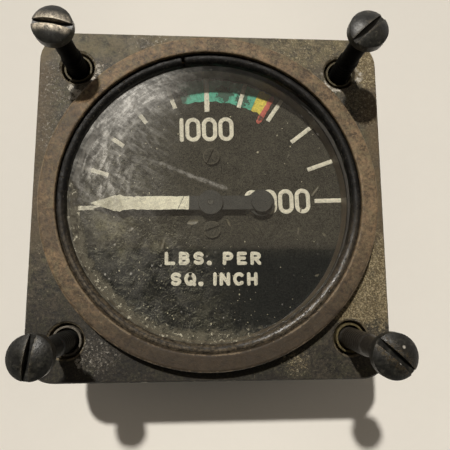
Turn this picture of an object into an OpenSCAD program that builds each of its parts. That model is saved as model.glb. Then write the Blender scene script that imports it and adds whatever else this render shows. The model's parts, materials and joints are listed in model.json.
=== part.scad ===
// Hydraulic pressure gauge for an aircraft panel, 0 to 2000, with its Bourdon tube movement.
// Millimetres. Z points out of the dial, X to the reader's right and Y to the top of the dial.
// The origin is the centre of the flange's front face, where the instrument panel lies.

/* [Flange] */
// Width of the square flange
flange_w = 60.3; // [60:0.1:76]
// Thickness of the flange
flange_t = 3.2; // [2.6:0.1:5]
// Radius of the flange's corners
flange_corner_r = 5; // [2:0.5:8]
// Distance from a mounting screw's axis to the flange's edge
screw_inset = 6.65; // [6:0.05:7]
// Chamfer at the mouth of each flange hole
hole_chamfer = 0.35; // [0.1:0.05:0.5]
// Chamfer along the flange's outer edges
flange_edge = 0.3; // [0.1:0.05:0.6]

/* [Case] */
// Depth from the flange's front face to the case back
case_depth = 20.9; // [20.5:0.1:30]
// Thickness of the case back
case_floor = 1.6; // [1.2:0.1:2.4]
// Wall of the case round the glass bore
case_wall = 1.95; // [1.2:0.05:2.2]
// Width of the ledge that carries the dial
ledge_w = 0.95; // [0.8:0.05:1.2]
// Edge radius of the case back
case_edge_r = 2.5; // [0.5:0.1:3.5]
// Radius in the corner between the flange's back and the cup
fillet_r = 0.8; // [0.3:0.1:1.2]

/* [Bezel] */
// Bore that takes the glass and its rings
glass_bore = 50.7; // [50:0.1:51.5]
// Wall of the bezel ring outside that bore
bezel_wall = 2.85; // [2:0.05:3]
// Height of the bezel ring in front of the flange
bezel_h = 3.0; // [2.7:0.1:4]
// Depth of the spigot that seats the ring in the flange
spigot_h = 0.8; // [0.5:0.1:1.5]
// Step between the ring's outside and its spigot
spigot_step = 0.35; // [0.3:0.05:0.5]
// Chamfer at the mouth of the seat that takes the spigot
seat_chamfer = 0.5; // [0.4:0.05:0.6]
// Edge radius of the ring's front
bezel_edge_r = 0.5; // [0.1:0.1:0.8]
// Chamfer on the ring's inner front edge
lip_chamfer = 0.25; // [0.1:0.05:0.4]

/* [Snap ring] */
// Radial width of the wire
wire_w = 1.8; // [1.4:0.1:2.2]
// Height of the wire
wire_h = 2.0; // [1.4:0.1:2.2]
// Rounding of the wire's front edges
wire_edge_r = 0.8; // [0.3:0.1:0.9]
// Depth of the groove that holds the wire
groove_depth = 0.55; // [0.3:0.05:0.8]
// Gap between the wire's ends
ring_gap = 0.5; // [0.3:0.1:3]
// Direction of that gap, from the X axis
ring_gap_angle = 101.3; // [0:0.1:360]

/* [Glass and dial] */
// Height of the glass's face above the flange
glass_z = 0.2; // [0:0.1:0.6]
// Thickness of the glass
glass_t = 2.5; // [2:0.1:3.2]
// Radial clearance of the glass and rings in their bore
glass_gap = 0.15; // [0.05:0.05:0.3]
// Radial width of the gasket and the spacer ring
rim_w = 0.85; // [0.6:0.05:1.2]
// Thickness of the gasket under the glass
gasket_t = 0.5; // [0.3:0.1:1]
// Height of the spacer ring that stands on the dial
spacer_h = 2.8; // [2.6:0.1:4]
// Thickness of the dial
dial_t = 0.9; // [0.5:0.1:1.2]
// Hole in the dial for the pointer's arbor
dial_hole_d = 2.6; // [1.6:0.1:3.4]
// Height of the posts between the movement and the dial
post_h = 1.4; // [1.2:0.1:2.4]
// Diameter of a dial screw's head and of its post
dial_screw_head_d = 3.1; // [2.4:0.1:3.4]
// Diameter of a dial screw's shank
dial_screw_d = 1.6; // [1.2:0.1:1.8]

/* [Pointer] */
// Direction of the pointer at rest, from the X axis
pointer_angle = 180.6; // [178:0.1:184]
// Length of the pointer from its axis to the tip
pointer_len = 21.3; // [17:0.1:23]
// Distance from the axis to the shoulders of the arrow head
pointer_shoulder = 16.2; // [12:0.1:18]
// Width of the pointer's bar
pointer_w = 2.5; // [1:0.1:3.5]
// Width across the shoulders
pointer_shoulder_w = 3.17; // [1:0.01:4]
// Thickness of the pointer
pointer_t = 0.35; // [0.2:0.05:0.6]
// Height of the pointer's underside above the dial
pointer_gap = 1.35; // [1.2:0.05:2]
// Distance from the axis to the centre of the counterweight
weight_x = 9.2; // [8.8:0.1:12]
// Diameter of the counterweight under the pointer
weight_d = 4.9; // [3:0.1:4.9]
// Diameter of the counterweight's boss above the pointer
weight_boss_d = 3.7; // [2:0.1:4]
// Diameter of the pointer's hub
hub_d = 4.45; // [3:0.05:5]
// Height of the hub above the pointer
hub_h = 0.6; // [0.4:0.1:0.9]
// Depth of the hub and the counterweight under the pointer
under_h = 0.6; // [0.3:0.1:0.6]

/* [Movement] */
// Module of the gear teeth
gear_module = 0.2; // [0.16:0.01:0.21]
// Number of teeth on the pinion
pinion_teeth = 12; // [12:1:14]
// Number of teeth that a whole wheel like the sector would have
wheel_teeth = 96; // [84:1:98]
// Direction from the pointer's axis to the sector's axis
sector_dir = -21.8; // [-30:0.1:-15]
// Turn of the sector for the pointer's full sweep
sector_turn = 22.5; // [15:0.5:24]
// Length of the sector's tail from its axis to the link
tail_len = 5; // [4:0.1:5.4]
// Length of the link between its pins
link_len = 9; // [7:0.1:10]
// Thickness of the movement's plates
plate_t = 1.0; // [0.8:0.1:1.2]
// Thickness of the sector
sector_t = 0.8; // [0.5:0.1:1]
// Height of the sector above the bottom plate
sector_gap = 1.5; // [1.2:0.1:2]
// Radius of the pillars between the plates
pillar_r = 1.4; // [1:0.1:1.6]
// Radius of the pillar's riveted foot
pillar_foot_r = 0.9; // [0.6:0.1:1.0]
// Turns of the hairspring
spring_turns = 5; // [3:1:6]
// Thickness of the hairspring's strip
spring_t = 0.1; // [0.06:0.01:0.16]
// Width of the hairspring's strip
spring_w = 0.6; // [0.4:0.1:0.8]

/* [Bourdon tube] */
// Height of the flattened tube, along the gauge's axis
tube_h = 6.4; // [5:0.1:7.7]
// Thickness of the flattened tube, across the gauge
tube_w = 2.2; // [1.6:0.1:2.6]
// Wall of the tube
tube_wall = 0.35; // [0.2:0.05:0.5]
// Radial room between the tube and the case
tube_room = 3.95; // [3:0.05:4.2]
// Direction of the tube's closed tip
tip_angle = 15; // [14:1:20]

/* [Socket] */
// Thickness of the socket's block on the case back
block_h = 2.4; // [2:0.1:3]
// Diameter of the threaded stem through the case back
stem_d = 13.8; // [13:0.1:14.4]
// Bore of the pressure port, for a 7/16-20 thread
port_d = 9.9; // [8:0.1:10.6]
// Width across the flats of the nut on the stem
nut_af = 19.05; // [17:0.05:22]
// Height of that nut
nut_h = 4.0; // [3:0.1:8]
// Thickness of the sealing washer under the nut
seal_t = 0.5; // [0.3:0.1:1]

/* [Mounting screws] */
// Diameter of the screws' thread
thread_d = 3.48; // [3:0.01:4.2]
// Diameter of the plain shank under the head
shank_d = 3.0; // [2.4:0.1:3.4]
// Length under the head
screw_len = 19.05; // [16:0.05:24]
// Length of the thread
thread_len = 12; // [8:0.5:14]
// Diameter of the heads
head_d = 6.0; // [5:0.1:7]
// Height of the heads
head_h = 2.2; // [1.8:0.1:3]
// Height of the dome on the heads
head_dome = 0.9; // [0.4:0.1:1.2]
// Width of the driver slots
slot_w = 0.85; // [0.6:0.05:1]
// Depth of the driver slots
slot_depth = 1.1; // [0.6:0.1:1.4]
// Height of the captive nuts behind the flange
captive_h = 4.8; // [3:0.1:6]
// Diameter of the captive nuts behind the flange
captive_d = 8; // [7:0.1:8.6]
// Top left screw: height of the head's underside above the flange
screw_out_tl = 11.2; // [2:0.1:14]
// Top right screw: the same height
screw_out_tr = 12.1; // [2:0.1:14]
// Bottom left screw: the same height
screw_out_bl = 12.6; // [2:0.1:14]
// Bottom right screw: the same height
screw_out_br = 14.9; // [2:0.1:15]

/* [Hidden] */
$fn = 72;

// Clearances, each of them radial: seat for a part that is fixed, run for one that turns
seat = 0.01;
run = 0.03;
thread_run = 0.06;
// Room between one turning layer and the next
layer = 0.1;
// How far a cutting shape runs past the face that it cuts
past = 1;

// Radii of the case, the bezel and what lies in their bore
bore_r = glass_bore / 2;
case_r = bore_r + case_wall;
cavity_r = bore_r - ledge_w;
bezel_r = bore_r + bezel_wall;
spigot_r = bezel_r - spigot_step;
pack_r = bore_r - glass_gap;

// Heights of the stack from the glass down to the case back
glass_low = glass_z - glass_t;
gasket_low = glass_low - gasket_t;
dial_z = gasket_low - spacer_h;
dial_low = dial_z - dial_t;
plate_z = dial_low - post_h;
plate_low = plate_z - plate_t;
back_z = -case_depth;
floor_z = back_z + case_floor;
block_z = floor_z + block_h;
base_z = block_z + plate_t;
nut_z = back_z - seal_t;
stand_z = nut_z - nut_h;

// The dial's two screws, and the pillars and screws of the movement
dial_screw_at = [[0.14, 8.9], [0.3, -4.7]];
pillar_at = [[-6, 7], [-5, -8], [7.5, 10]];
foot_at = [[-6.4, -1.5], [4.6, -6.6]];
small_screw_d = 1.4;
small_head_d = 2.4;
small_head_h = 0.7;

// Gears: the sector's wheel has a stub addendum, so that it clears the small pinion's roots
pinion_r = gear_module * pinion_teeth / 2;
wheel_r = gear_module * wheel_teeth / 2;
sector_at = (pinion_r + wheel_r) * [cos(sector_dir), sin(sector_dir)];
pinion_addendum = 0.9 * gear_module;
wheel_addendum = 0.7 * gear_module;
root_room = 0.25 * gear_module;
backlash = 0.25 * gear_module;
pressure_angle = 20;

// Layers of the movement, from the bottom plate up
sector_low = base_z + sector_gap;
sector_z = sector_low + sector_t;
link_low = sector_z + layer;
link_t = 0.6;
link_z = link_low + link_t;
ear_low = link_z + layer;
ear_t = 0.8;
ear_z = ear_low + ear_t;
pinion_low = sector_low - 0.6;
pinion_h = sector_t + 1.2;
spring_low = plate_low - 1.7 - spring_w;
spring_inner_r = 0.95;
spring_outer_r = 3.9;

// Radii of the shafts and of the pins that the link hangs on
arbor_r = 0.6;
arbor_top_r = 0.475;
pivot_r = 0.4;
sector_arbor_r = 0.7;
pin_r = 0.4;
pin_head_r = 0.7;
eye_r = 1.0;

// The link stands along Y from the sector's tail to the tube's tip
tail_at = sector_at + tail_len * [cos(sector_turn / 2), -sin(sector_turn / 2)];
link_eye_at = tail_at + [0, link_len];
tail_drift = tail_len * (1 - cos(sector_turn / 2));
tip_pin_at = link_eye_at + [tail_drift / 2, 0];
open_pivot_room = 0.15;

// The tube runs round the case from its root, under the dial's bottom, to its tip
root_angle = 270;
tube_r = cavity_r - tube_room - tube_w / 2;
tube_z = (plate_low + base_z) / 2;
tip_block_arc = 6;
tip_lap = 0.3;
root_w = 5.5;

// Socket: the stem is a little short, so that the gauge stands on its nut
stem_r = stem_d / 2;
stem_hole_r = stem_r + 0.1;
stem_short = 0.3;
port_end_z = floor_z + 1.1;
block_r = 9;
passage_r = 0.6;
plug_r = 1.2;
plug_h = 1.6;

// Captive nuts: a sleeve with a plain mouth stands in the flange, the thread is behind it
thread_r = thread_d / 2;
nut_thread_r = thread_r + thread_run;
mouth_r = thread_r + 0.36;
sleeve_r = mouth_r + 0.35;
flange_hole_r = sleeve_r + 0.45;
sleeve_drop = 0.4;
screw_xy = flange_w / 2 - screw_inset;
// Slot directions of the four heads, from the X axis
slot_tl = -6.6;
slot_tr = 41.6;
slot_bl = 83;
slot_br = -42.4;

// A bar with round ends from a to b
module bar(a, b, r) {
    d = b - a;
    len = norm(d);
    translate(a) rotate(atan2(d.y, d.x)) {
        circle(r);
        translate([len, 0]) circle(r);
        translate([0, -r]) square([len, 2 * r]);
    }
}

// A square plate with round corners and its edges chamfered, as two crossed bars and four turned corners
module chamfered_plate(w, r, z0, z1, c) {
    x = w / 2;
    for (a = [0, 90]) rotate([0, 0, a]) rotate([90, 0, 0]) linear_extrude(w - 2 * r, center = true)
        polygon([[-x + c, z0], [x - c, z0], [x, z0 + c], [x, z1 - c], [x - c, z1], [-x + c, z1],
            [-x, z1 - c], [-x, z0 + c]]);
    for (i = [-1, 1], j = [-1, 1]) translate([i, j, 0] * (x - r)) rotate_extrude()
        polygon([[0, z0], [r - c, z0], [r, z0 + c], [r, z1 - c], [r - c, z1], [0, z1]]);
}

// A ring's section with its outer upper edge rounded, as a profile for a turned part
module round_topped(r_in, r_out, z0, z1, edge) {
    translate([r_in, z0]) square([r_out - r_in, z1 - z0 - edge]);
    translate([r_in, z0]) square([r_out - r_in - edge, z1 - z0]);
    translate([r_out - edge, z1 - edge]) circle(edge);
}

module tube(r_in, r_out, z0, z1) {
    translate([0, 0, z0]) difference() {
        cylinder(r = r_out, h = z1 - z0);
        translate([0, 0, -past]) cylinder(r = r_in, h = z1 - z0 + 2 * past);
    }
}

module rod(r, z0, z1) {
    translate([0, 0, z0]) cylinder(r = r, h = z1 - z0);
}

module at_corners() {
    for (x = [-1, 1], y = [-1, 1]) translate([x, y, 0] * screw_xy) children();
}

// Outside of the cup behind the flange, with its back edge rounded
module cup_profile() {
    mirror([0, 1]) round_topped(0, case_r, 0, case_depth, case_edge_r);
}

// Inside corner between the flange's back and the cup, filled to a radius as cast
module cup_fillet() {
    difference() {
        translate([case_r - past, -flange_t - fillet_r]) square([past + fillet_r, fillet_r + past]);
        translate([case_r + fillet_r, -flange_t - fillet_r]) circle(fillet_r);
    }
}

// The ring's seat in the flange, its mouth chamfered clear of the ring's foot
module ring_seat() {
    rod(spigot_r + seat, -spigot_h, past);
    translate([0, 0, -seat_chamfer])
        cylinder(r1 = spigot_r + seat, r2 = spigot_r + seat + seat_chamfer + past, h = seat_chamfer + past);
}

module flange_hole() {
    rod(flange_hole_r, -flange_t - past, past);
    translate([0, 0, -hole_chamfer])
        cylinder(r1 = flange_hole_r, r2 = flange_hole_r + hole_chamfer + past, h = hole_chamfer + past);
}

module case_body() {
    color("#3b352e") difference() {
        union() {
            chamfered_plate(flange_w, flange_corner_r, -flange_t, 0, flange_edge);
            rotate_extrude() cup_profile();
            rotate_extrude() cup_fillet();
        }
        ring_seat();
        rod(bore_r, dial_low, past);
        rod(cavity_r, floor_z, past);
        rod(stem_hole_r, back_z - past, floor_z + past);
        at_corners() flange_hole();
    }
}

module bezel_ring() {
    groove_low = glass_z - 0.05;
    color("#6f5d4b") rotate_extrude() difference() {
        union() {
            round_topped(bore_r, bezel_r, 0, bezel_h, bezel_edge_r);
            translate([bore_r, -spigot_h]) square([spigot_r - bore_r, spigot_h]);
        }
        translate([bore_r - past, groove_low]) square([past + groove_depth, wire_h + 0.15]);
        translate([bore_r, bezel_h - lip_chamfer])
            polygon([[-past, -past], [lip_chamfer + past, lip_chamfer + past], [-past, lip_chamfer + past]]);
    }
}

// The wire is nearly round in front and flat where it bears on the glass
module wire_profile() {
    r_out = bore_r + groove_depth - 0.1;
    r_in = r_out - wire_w;
    translate([0, glass_z]) {
        round_topped((r_in + r_out) / 2, r_out, 0, wire_h, wire_edge_r);
        translate([r_in + r_out, 0]) mirror([1, 0])
            round_topped((r_in + r_out) / 2, r_out, 0, wire_h, wire_edge_r);
    }
}

module snap_ring() {
    gap_deg = ring_gap / bore_r * 180 / PI;
    color("#171514") rotate([0, 0, ring_gap_angle + gap_deg / 2])
        rotate_extrude(angle = 360 - gap_deg) wire_profile();
}

module glass() {
    chamfer = 0.25;
    color("#9fb0a8", 0.35) rotate_extrude() polygon([[0, glass_low], [pack_r - chamfer, glass_low],
        [pack_r, glass_low + chamfer], [pack_r, glass_z - chamfer], [pack_r - chamfer, glass_z],
        [0, glass_z]]);
}

module glass_gasket() {
    color("#1d1b19") tube(pack_r - rim_w, pack_r, gasket_low, glass_low);
}

module dial_spacer() {
    color("#26231f") tube(pack_r - rim_w, pack_r, dial_z, gasket_low);
}

module dial() {
    color("#35312b") difference() {
        rod(pack_r, dial_low, dial_z);
        rod(dial_hole_d / 2, dial_low - past, dial_z + past);
        for (p = dial_screw_at) translate(p) rod(dial_screw_d / 2 + 0.1, dial_low - past, dial_z + past);
    }
}

// A slotted screw: its head stands on z0, and its shank goes down by len
module slotted_screw(z0, head_r, head_h, shank_r, len, slot_w, slot_depth, slot_dir) {
    difference() {
        union() {
            rod(head_r, z0, z0 + head_h);
            rod(shank_r, z0 - len, z0);
        }
        translate([0, 0, z0 + head_h - slot_depth]) rotate(slot_dir)
            translate([-head_r - past, -slot_w / 2, 0]) cube([2 * (head_r + past), slot_w, slot_depth + past]);
    }
}

module dial_screws() {
    slot_dirs = [65, 20];
    color("#2b2824") for (i = [0, 1]) translate(dial_screw_at[i])
        slotted_screw(dial_z, dial_screw_head_d / 2, 0.6, dial_screw_d / 2, dial_t + post_h + plate_t - 0.1,
            0.5, 0.35, slot_dirs[i]);
}

module dial_posts() {
    color("#b9974f") for (p = dial_screw_at) translate(p)
        tube(dial_screw_d / 2 + seat, dial_screw_head_d / 2, plate_z, dial_low);
}

module captive_nuts() {
    low = -flange_t - captive_h;
    color("#8c8266") at_corners() difference() {
        union() {
            rod(sleeve_r, -flange_t - past / 2, -sleeve_drop);
            rod(captive_d / 2, low, -flange_t);
        }
        rod(nut_thread_r, low - past, past);
        rod(mouth_r, -flange_t, past);
    }
}

// The head is a short cylinder under a dome, cut by one straight slot
module mounting_screw(x, y, out, slot_dir) {
    head_r = head_d / 2;
    dome_r = (head_r * head_r + head_dome * head_dome) / (2 * head_dome);
    top = out + head_h;
    color("#2a2826") translate([x * screw_xy, y * screw_xy, 0]) difference() {
        union() {
            intersection() {
                rod(head_r, out, top);
                translate([0, 0, top - dome_r]) sphere(dome_r);
            }
            rod(shank_d / 2, out - screw_len + thread_len, out + past / 2);
            rod(thread_r, out - screw_len, out - screw_len + thread_len);
        }
        translate([0, 0, top - slot_depth]) rotate(slot_dir)
            translate([-head_d, -slot_w / 2, 0]) cube([2 * head_d, slot_w, slot_depth + past]);
    }
}

module screw_top_left() mounting_screw(-1, 1, screw_out_tl, slot_tl);
module screw_top_right() mounting_screw(1, 1, screw_out_tr, slot_tr);
module screw_bottom_left() mounting_screw(-1, -1, screw_out_bl, slot_bl);
module screw_bottom_right() mounting_screw(1, -1, screw_out_br, slot_br);

// The pointer lies along X in its own layer, and is turned to its rest direction
pointer_low = dial_z + pointer_gap;
pointer_z = pointer_low + pointer_t;
hub_core_r = 1.2;

module pointer_outline() {
    w = pointer_w / 2;
    s = pointer_shoulder_w / 2;
    polygon([[-weight_x, -w], [pointer_shoulder - s, -w], [pointer_shoulder, -s], [pointer_len, 0],
        [pointer_shoulder, s], [pointer_shoulder - s, w], [-weight_x, w]]);
    translate([-weight_x, 0]) circle(weight_boss_d / 2);
}

module pointer_blade() {
    color("#ded2b8") rotate(pointer_angle) translate([0, 0, pointer_low]) linear_extrude(pointer_t) difference() {
        pointer_outline();
        circle(hub_core_r + seat);
        translate([-weight_x, 0]) circle(hub_core_r + seat);
    }
}

// A rivet-like turned part: a flange under the pointer, a core through it and a flange above it
module riveted(under_r, over_r, over_h) {
    rod(under_r, pointer_low - under_h, pointer_low);
    rod(hub_core_r, pointer_low - under_h, pointer_z + over_h);
    rod(over_r, pointer_z, pointer_z + over_h);
}

module pointer_hub() {
    color("#1c1a18") difference() {
        riveted(hub_d / 2, hub_d / 2, hub_h);
        rod(arbor_top_r + seat, pointer_low - past - under_h, pointer_z + hub_h + past);
    }
}

module pointer_weight() {
    color("#1f1d1a") rotate(pointer_angle) translate([-weight_x, 0, 0])
        riveted(weight_d / 2, weight_boss_d / 2, hub_h);
}

module pointer_arbor() {
    low = block_z + 0.1;
    color("#9a9a96") {
        rod(pivot_r, low, base_z + layer);
        rod(arbor_r, base_z + layer, plate_low - layer);
        rod(arbor_top_r, plate_low - layer, pointer_z + hub_h + layer);
    }
}

// Involute of a circle: the angle swept at radius r from where it leaves the base circle rb
function involute(r, rb) = sqrt(pow(r / rb, 2) - 1) * 180 / PI - acos(rb / r);

// One tooth centred on angle c, as points up one flank and down the other
function tooth(teeth, add, ded, c, steps = 4) =
    let (pitch = gear_module * teeth / 2, rb = pitch * cos(pressure_angle),
        root = pitch - ded, tip = pitch + add, start = max(rb, root),
        half = 90 / teeth - backlash / 2 / pitch * 90 / PI + involute(pitch, rb),
        rs = [for (i = [0:steps]) start + (tip - start) * i / steps],
        up = [for (r = rs) [r, half - involute(r, rb)]],
        side = root < rb ? concat([[root, half]], up) : up)
    concat([for (p = side) p[0] * [cos(c - p[1]), sin(c - p[1])]],
        [for (i = [len(side) - 1:-1:0]) side[i][0] * [cos(c + side[i][1]), sin(c + side[i][1])]]);

// The pinion has a tooth on the line to the sector's axis, and the sector a gap there
module pinion() {
    color("#b08d48") translate([0, 0, pinion_low]) linear_extrude(pinion_h) difference() {
        polygon([for (k = [0:pinion_teeth - 1])
            each tooth(pinion_teeth, pinion_addendum, wheel_addendum + root_room,
                sector_dir + k * 360 / pinion_teeth)]);
        circle(arbor_r + seat);
    }
}

// Teeth that the sector needs: those that pass the pinion, and a pair more at each end
pitch_deg = 360 / wheel_teeth;
spare_teeth = 2;
passing_teeth = ceil(sector_turn / pitch_deg);
contact_dir = sector_dir + 180;
first_tooth = contact_dir + (spare_teeth - 0.5) * pitch_deg;
tooth_count = passing_teeth + 2 * spare_teeth;

module toothed_rim() {
    ded = pinion_addendum + root_room;
    rim_in = wheel_r - ded - 8 * gear_module;
    difference() {
        polygon(concat([[0, 0]], [for (k = [tooth_count - 1:-1:0])
            each tooth(wheel_teeth, wheel_addendum, ded, first_tooth - k * pitch_deg)]));
        circle(rim_in);
    }
}

module sector_gear() {
    rim_mid = wheel_r - 6 * gear_module;
    ends = [first_tooth - pitch_deg, first_tooth - (tooth_count - 2) * pitch_deg];
    color("#b08d48") translate([sector_at.x, sector_at.y, sector_low]) linear_extrude(sector_t) difference() {
        union() {
            toothed_rim();
            circle(2);
            for (a = ends) bar([0, 0], rim_mid * [cos(a), sin(a)], 0.6);
            bar([0, 0], tail_at - sector_at, 0.9);
        }
        circle(sector_arbor_r + seat);
        translate(tail_at - sector_at) circle(pin_r + seat);
    }
}

module sector_arbor() {
    color("#9a9a96") translate(sector_at) {
        rod(pivot_r, block_z + 0.1, plate_z + 0.3);
        rod(sector_arbor_r, base_z + layer, plate_low - layer);
    }
}

module sector_pin() {
    color("#9a9a96") translate(tail_at) {
        rod(pin_r, sector_low, link_z + layer);
        rod(pin_head_r, link_z + layer, link_z + layer + 0.3);
    }
}

module link() {
    color("#a98a4a") translate([0, 0, link_low]) linear_extrude(link_t) difference() {
        union() {
            bar(tail_at, link_eye_at, 0.5);
            translate(tail_at) circle(eye_r);
            translate(link_eye_at) circle(eye_r);
        }
        translate(tail_at) circle(pin_r + run);
        translate(link_eye_at) circle(pin_r + open_pivot_room);
    }
}

// The tip's cap closes the tube, and its ear reaches in to the link
module tube_tip() {
    r0 = tube_r - tube_w / 2 - tip_lap;
    cap_h = tube_h + 2 * tip_lap;
    ear_root = tube_r * [cos(tip_angle - tip_block_arc + 0.4), sin(tip_angle - tip_block_arc + 0.4)];
    color("#a98a4a") {
        rotate([0, 0, tip_angle - tip_block_arc]) rotate_extrude(angle = tip_block_arc)
            translate([r0, tube_z - cap_h / 2]) square([tube_w + 2 * tip_lap, cap_h]);
        translate([0, 0, ear_low]) linear_extrude(ear_t) difference() {
            bar(tip_pin_at, ear_root, eye_r);
            translate(tip_pin_at) circle(pin_r + seat);
        }
    }
}

module tip_pin() {
    color("#9a9a96") translate(tip_pin_at) {
        rod(pin_r, link_low - layer, ear_z);
        rod(pin_head_r, link_low - layer - 0.3, link_low - layer);
    }
}

module tube_section(grow) {
    r = tube_w / 2 + grow;
    translate([tube_r, tube_z]) {
        square([2 * r, tube_h - tube_w], center = true);
        for (s = [-1, 1]) translate([0, s * (tube_h - tube_w) / 2]) circle(r);
    }
}

module bourdon_tube() {
    color("#b87a4b") rotate([0, 0, tip_angle]) rotate_extrude(angle = root_angle - tip_angle) difference() {
        tube_section(0);
        tube_section(-tube_wall);
    }
}

// Outline of the plates: bars between the pillars and the sector's bearing, filled in
module plate_outline() {
    corners = [pillar_at[0], pillar_at[1], sector_at, pillar_at[2]];
    polygon(corners);
    for (i = [0:3]) bar(corners[i], corners[(i + 1) % 4], 2.6);
    for (p = dial_screw_at) translate(p) circle(dial_screw_head_d / 2 + 0.3);
}

module top_plate() {
    color("#b9974f") translate([0, 0, plate_low]) linear_extrude(plate_t) difference() {
        plate_outline();
        circle(arbor_top_r + run);
        translate(sector_at) circle(pivot_r + run);
        for (p = pillar_at) translate(p) circle(small_screw_d / 2 + 0.05);
        for (p = dial_screw_at) translate(p) circle(dial_screw_d / 2 + seat);
    }
}

module bottom_plate() {
    color("#b9974f") translate([0, 0, block_z]) linear_extrude(plate_t) difference() {
        plate_outline();
        circle(pivot_r + run);
        translate(sector_at) circle(pivot_r + run);
        for (p = foot_at) translate(p) circle(small_screw_d / 2 + 0.05);
        for (p = pillar_at) translate(p) circle(pillar_foot_r + seat);
    }
}

// Each pillar's foot is riveted flush in the bottom plate, and its top is tapped for a plate screw
module pillars() {
    thread_h = 3;
    color("#b9974f") for (p = pillar_at) translate(p) difference() {
        union() {
            rod(pillar_r, base_z, plate_low);
            rod(pillar_foot_r, block_z, base_z);
        }
        rod(small_screw_d / 2 + seat, plate_low - thread_h, plate_low + past);
    }
}

module plate_screws() {
    slot_dirs = [30, 75, -20];
    color("#8f7a44") for (i = [0:2]) translate(pillar_at[i])
        slotted_screw(plate_z, small_head_d / 2, small_head_h, small_screw_d / 2, plate_t + 2.5,
            0.4, 0.35, slot_dirs[i]);
}

module foot_screws() {
    slot_dirs = [10, 60];
    color("#8f7a44") for (i = [0, 1]) translate(foot_at[i])
        slotted_screw(base_z, small_head_d / 2, small_head_h, small_screw_d / 2, plate_t + 1,
            0.4, 0.35, slot_dirs[i]);
}

module hairspring_collet() {
    color("#b08d48") tube(arbor_r + seat, spring_inner_r - spring_t / 2, spring_low - 0.3,
        spring_low + spring_w + 0.3);
}

// Archimedean spiral from the collet to the stud, as one flat strip
function spiral_r(turn) = spring_inner_r + (spring_outer_r - spring_inner_r) * turn / spring_turns;
stud_angle = 130;

module hairspring() {
    steps = 24 * spring_turns;
    function at(i, side) = let (turn = i / 24, r = spiral_r(turn) + side * spring_t / 2,
        a = stud_angle + turn * 360) r * [cos(a), sin(a)];
    color("#c9a24f") translate([0, 0, spring_low]) linear_extrude(spring_w)
        polygon(concat([for (i = [0:steps]) at(i, 1)], [for (i = [steps:-1:0]) at(i, -1)]));
}

// The stud hangs from the top plate just outside the spring's last turn
module hairspring_stud() {
    w = 1.2;
    color("#b08d48") rotate(stud_angle)
        translate([spring_outer_r + spring_t / 2, -w / 2, spring_low - 0.2])
            cube([w, w, plate_low - spring_low + 0.2]);
}

// Socket: a block on the case back, the stem through it, and the post that holds the tube's root
module socket_block() {
    root_in = tube_r - tube_w / 2 - 0.6;
    root_out = tube_r + tube_w / 2 + 0.6;
    post_z = tube_z + tube_h / 2 + 0.4;
    color("#a8905a") difference() {
        union() {
            rod(block_r, floor_z, block_z);
            rod(stem_r, stand_z + stem_short, floor_z + past);
            translate([-root_w, -root_out, floor_z]) cube([2 * root_w, root_out, block_h]);
            translate([0, -root_out, floor_z]) cube([root_w, root_out - root_in, post_z - floor_z]);
        }
        rod(port_d / 2, stand_z, port_end_z);
        translate([0, 0, stand_z + stem_short]) mirror([0, 0, 1]) translate([0, 0, -0.5])
            cylinder(r1 = port_d / 2, r2 = port_d / 2 + 0.5 + past, h = 0.5 + past);
        for (p = foot_at) translate(p) rod(small_screw_d / 2 + seat, block_z - 1.2, block_z + past);
        passages(post_z);
    }
}

// Drilled ways from the port to the tube: along the block, up the post and across to the tube
module passages(post_z) {
    x = root_w / 2;
    way_z = floor_z + block_h / 3;
    translate([x, -tube_r, way_z]) rotate([-90, 0, 0]) cylinder(r = passage_r, h = tube_r - 2);
    translate([x, -tube_r, 0]) rod(passage_r, way_z, post_z + past);
    translate([x, -tube_r, 0]) rod(plug_r + seat, post_z - plug_h, post_z + past);
    translate([-past, -tube_r, tube_z]) rotate([0, 90, 0]) cylinder(r = passage_r, h = x + past);
}

module passage_plug() {
    top = tube_z + tube_h / 2 + 0.4;
    color("#8f7a44") translate([root_w / 2, -tube_r, 0]) difference() {
        rod(plug_r, top - plug_h, top);
        translate([-plug_r - past, -0.2, top - 0.4]) cube([2 * (plug_r + past), 0.4, 0.4 + past]);
    }
}

module socket_seal() {
    color("#6b2f22") tube(stem_hole_r, nut_af / 2 - 0.5, nut_z, back_z);
}

// Hexagon nut with its corners turned off at the free end
module socket_nut() {
    corner_r = nut_af / sqrt(3);
    color("#a8905a") difference() {
        intersection() {
            translate([0, 0, stand_z]) cylinder(r = corner_r, h = nut_h, $fn = 6);
            translate([0, 0, stand_z]) cylinder(r1 = nut_af / 2, r2 = nut_af / 2 + nut_h * 2, h = nut_h);
        }
        rod(stem_r + thread_run, stand_z - past, nut_z + past);
    }
}

case_body();
bezel_ring();
snap_ring();
glass();
glass_gasket();
dial_spacer();
dial();
dial_screws();
dial_posts();
captive_nuts();
screw_top_left();
screw_top_right();
screw_bottom_left();
screw_bottom_right();
pointer_blade();
pointer_hub();
pointer_weight();
pointer_arbor();
pinion();
hairspring_collet();
hairspring();
hairspring_stud();
sector_gear();
sector_arbor();
sector_pin();
link();
tube_tip();
tip_pin();
bourdon_tube();
top_plate();
bottom_plate();
pillars();
plate_screws();
foot_screws();
socket_block();
passage_plug();
socket_seal();
socket_nut();
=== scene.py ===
"""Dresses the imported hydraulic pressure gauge: worn paint, glass, dial print, screws, floor and light."""
import json
import math
from functools import reduce

import bmesh
import bpy
import numpy as np
from bpy.props import FloatProperty, FloatVectorProperty, PointerProperty
from bpy.types import Operator, Panel, PropertyGroup
from mathutils import Matrix, Vector

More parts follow.
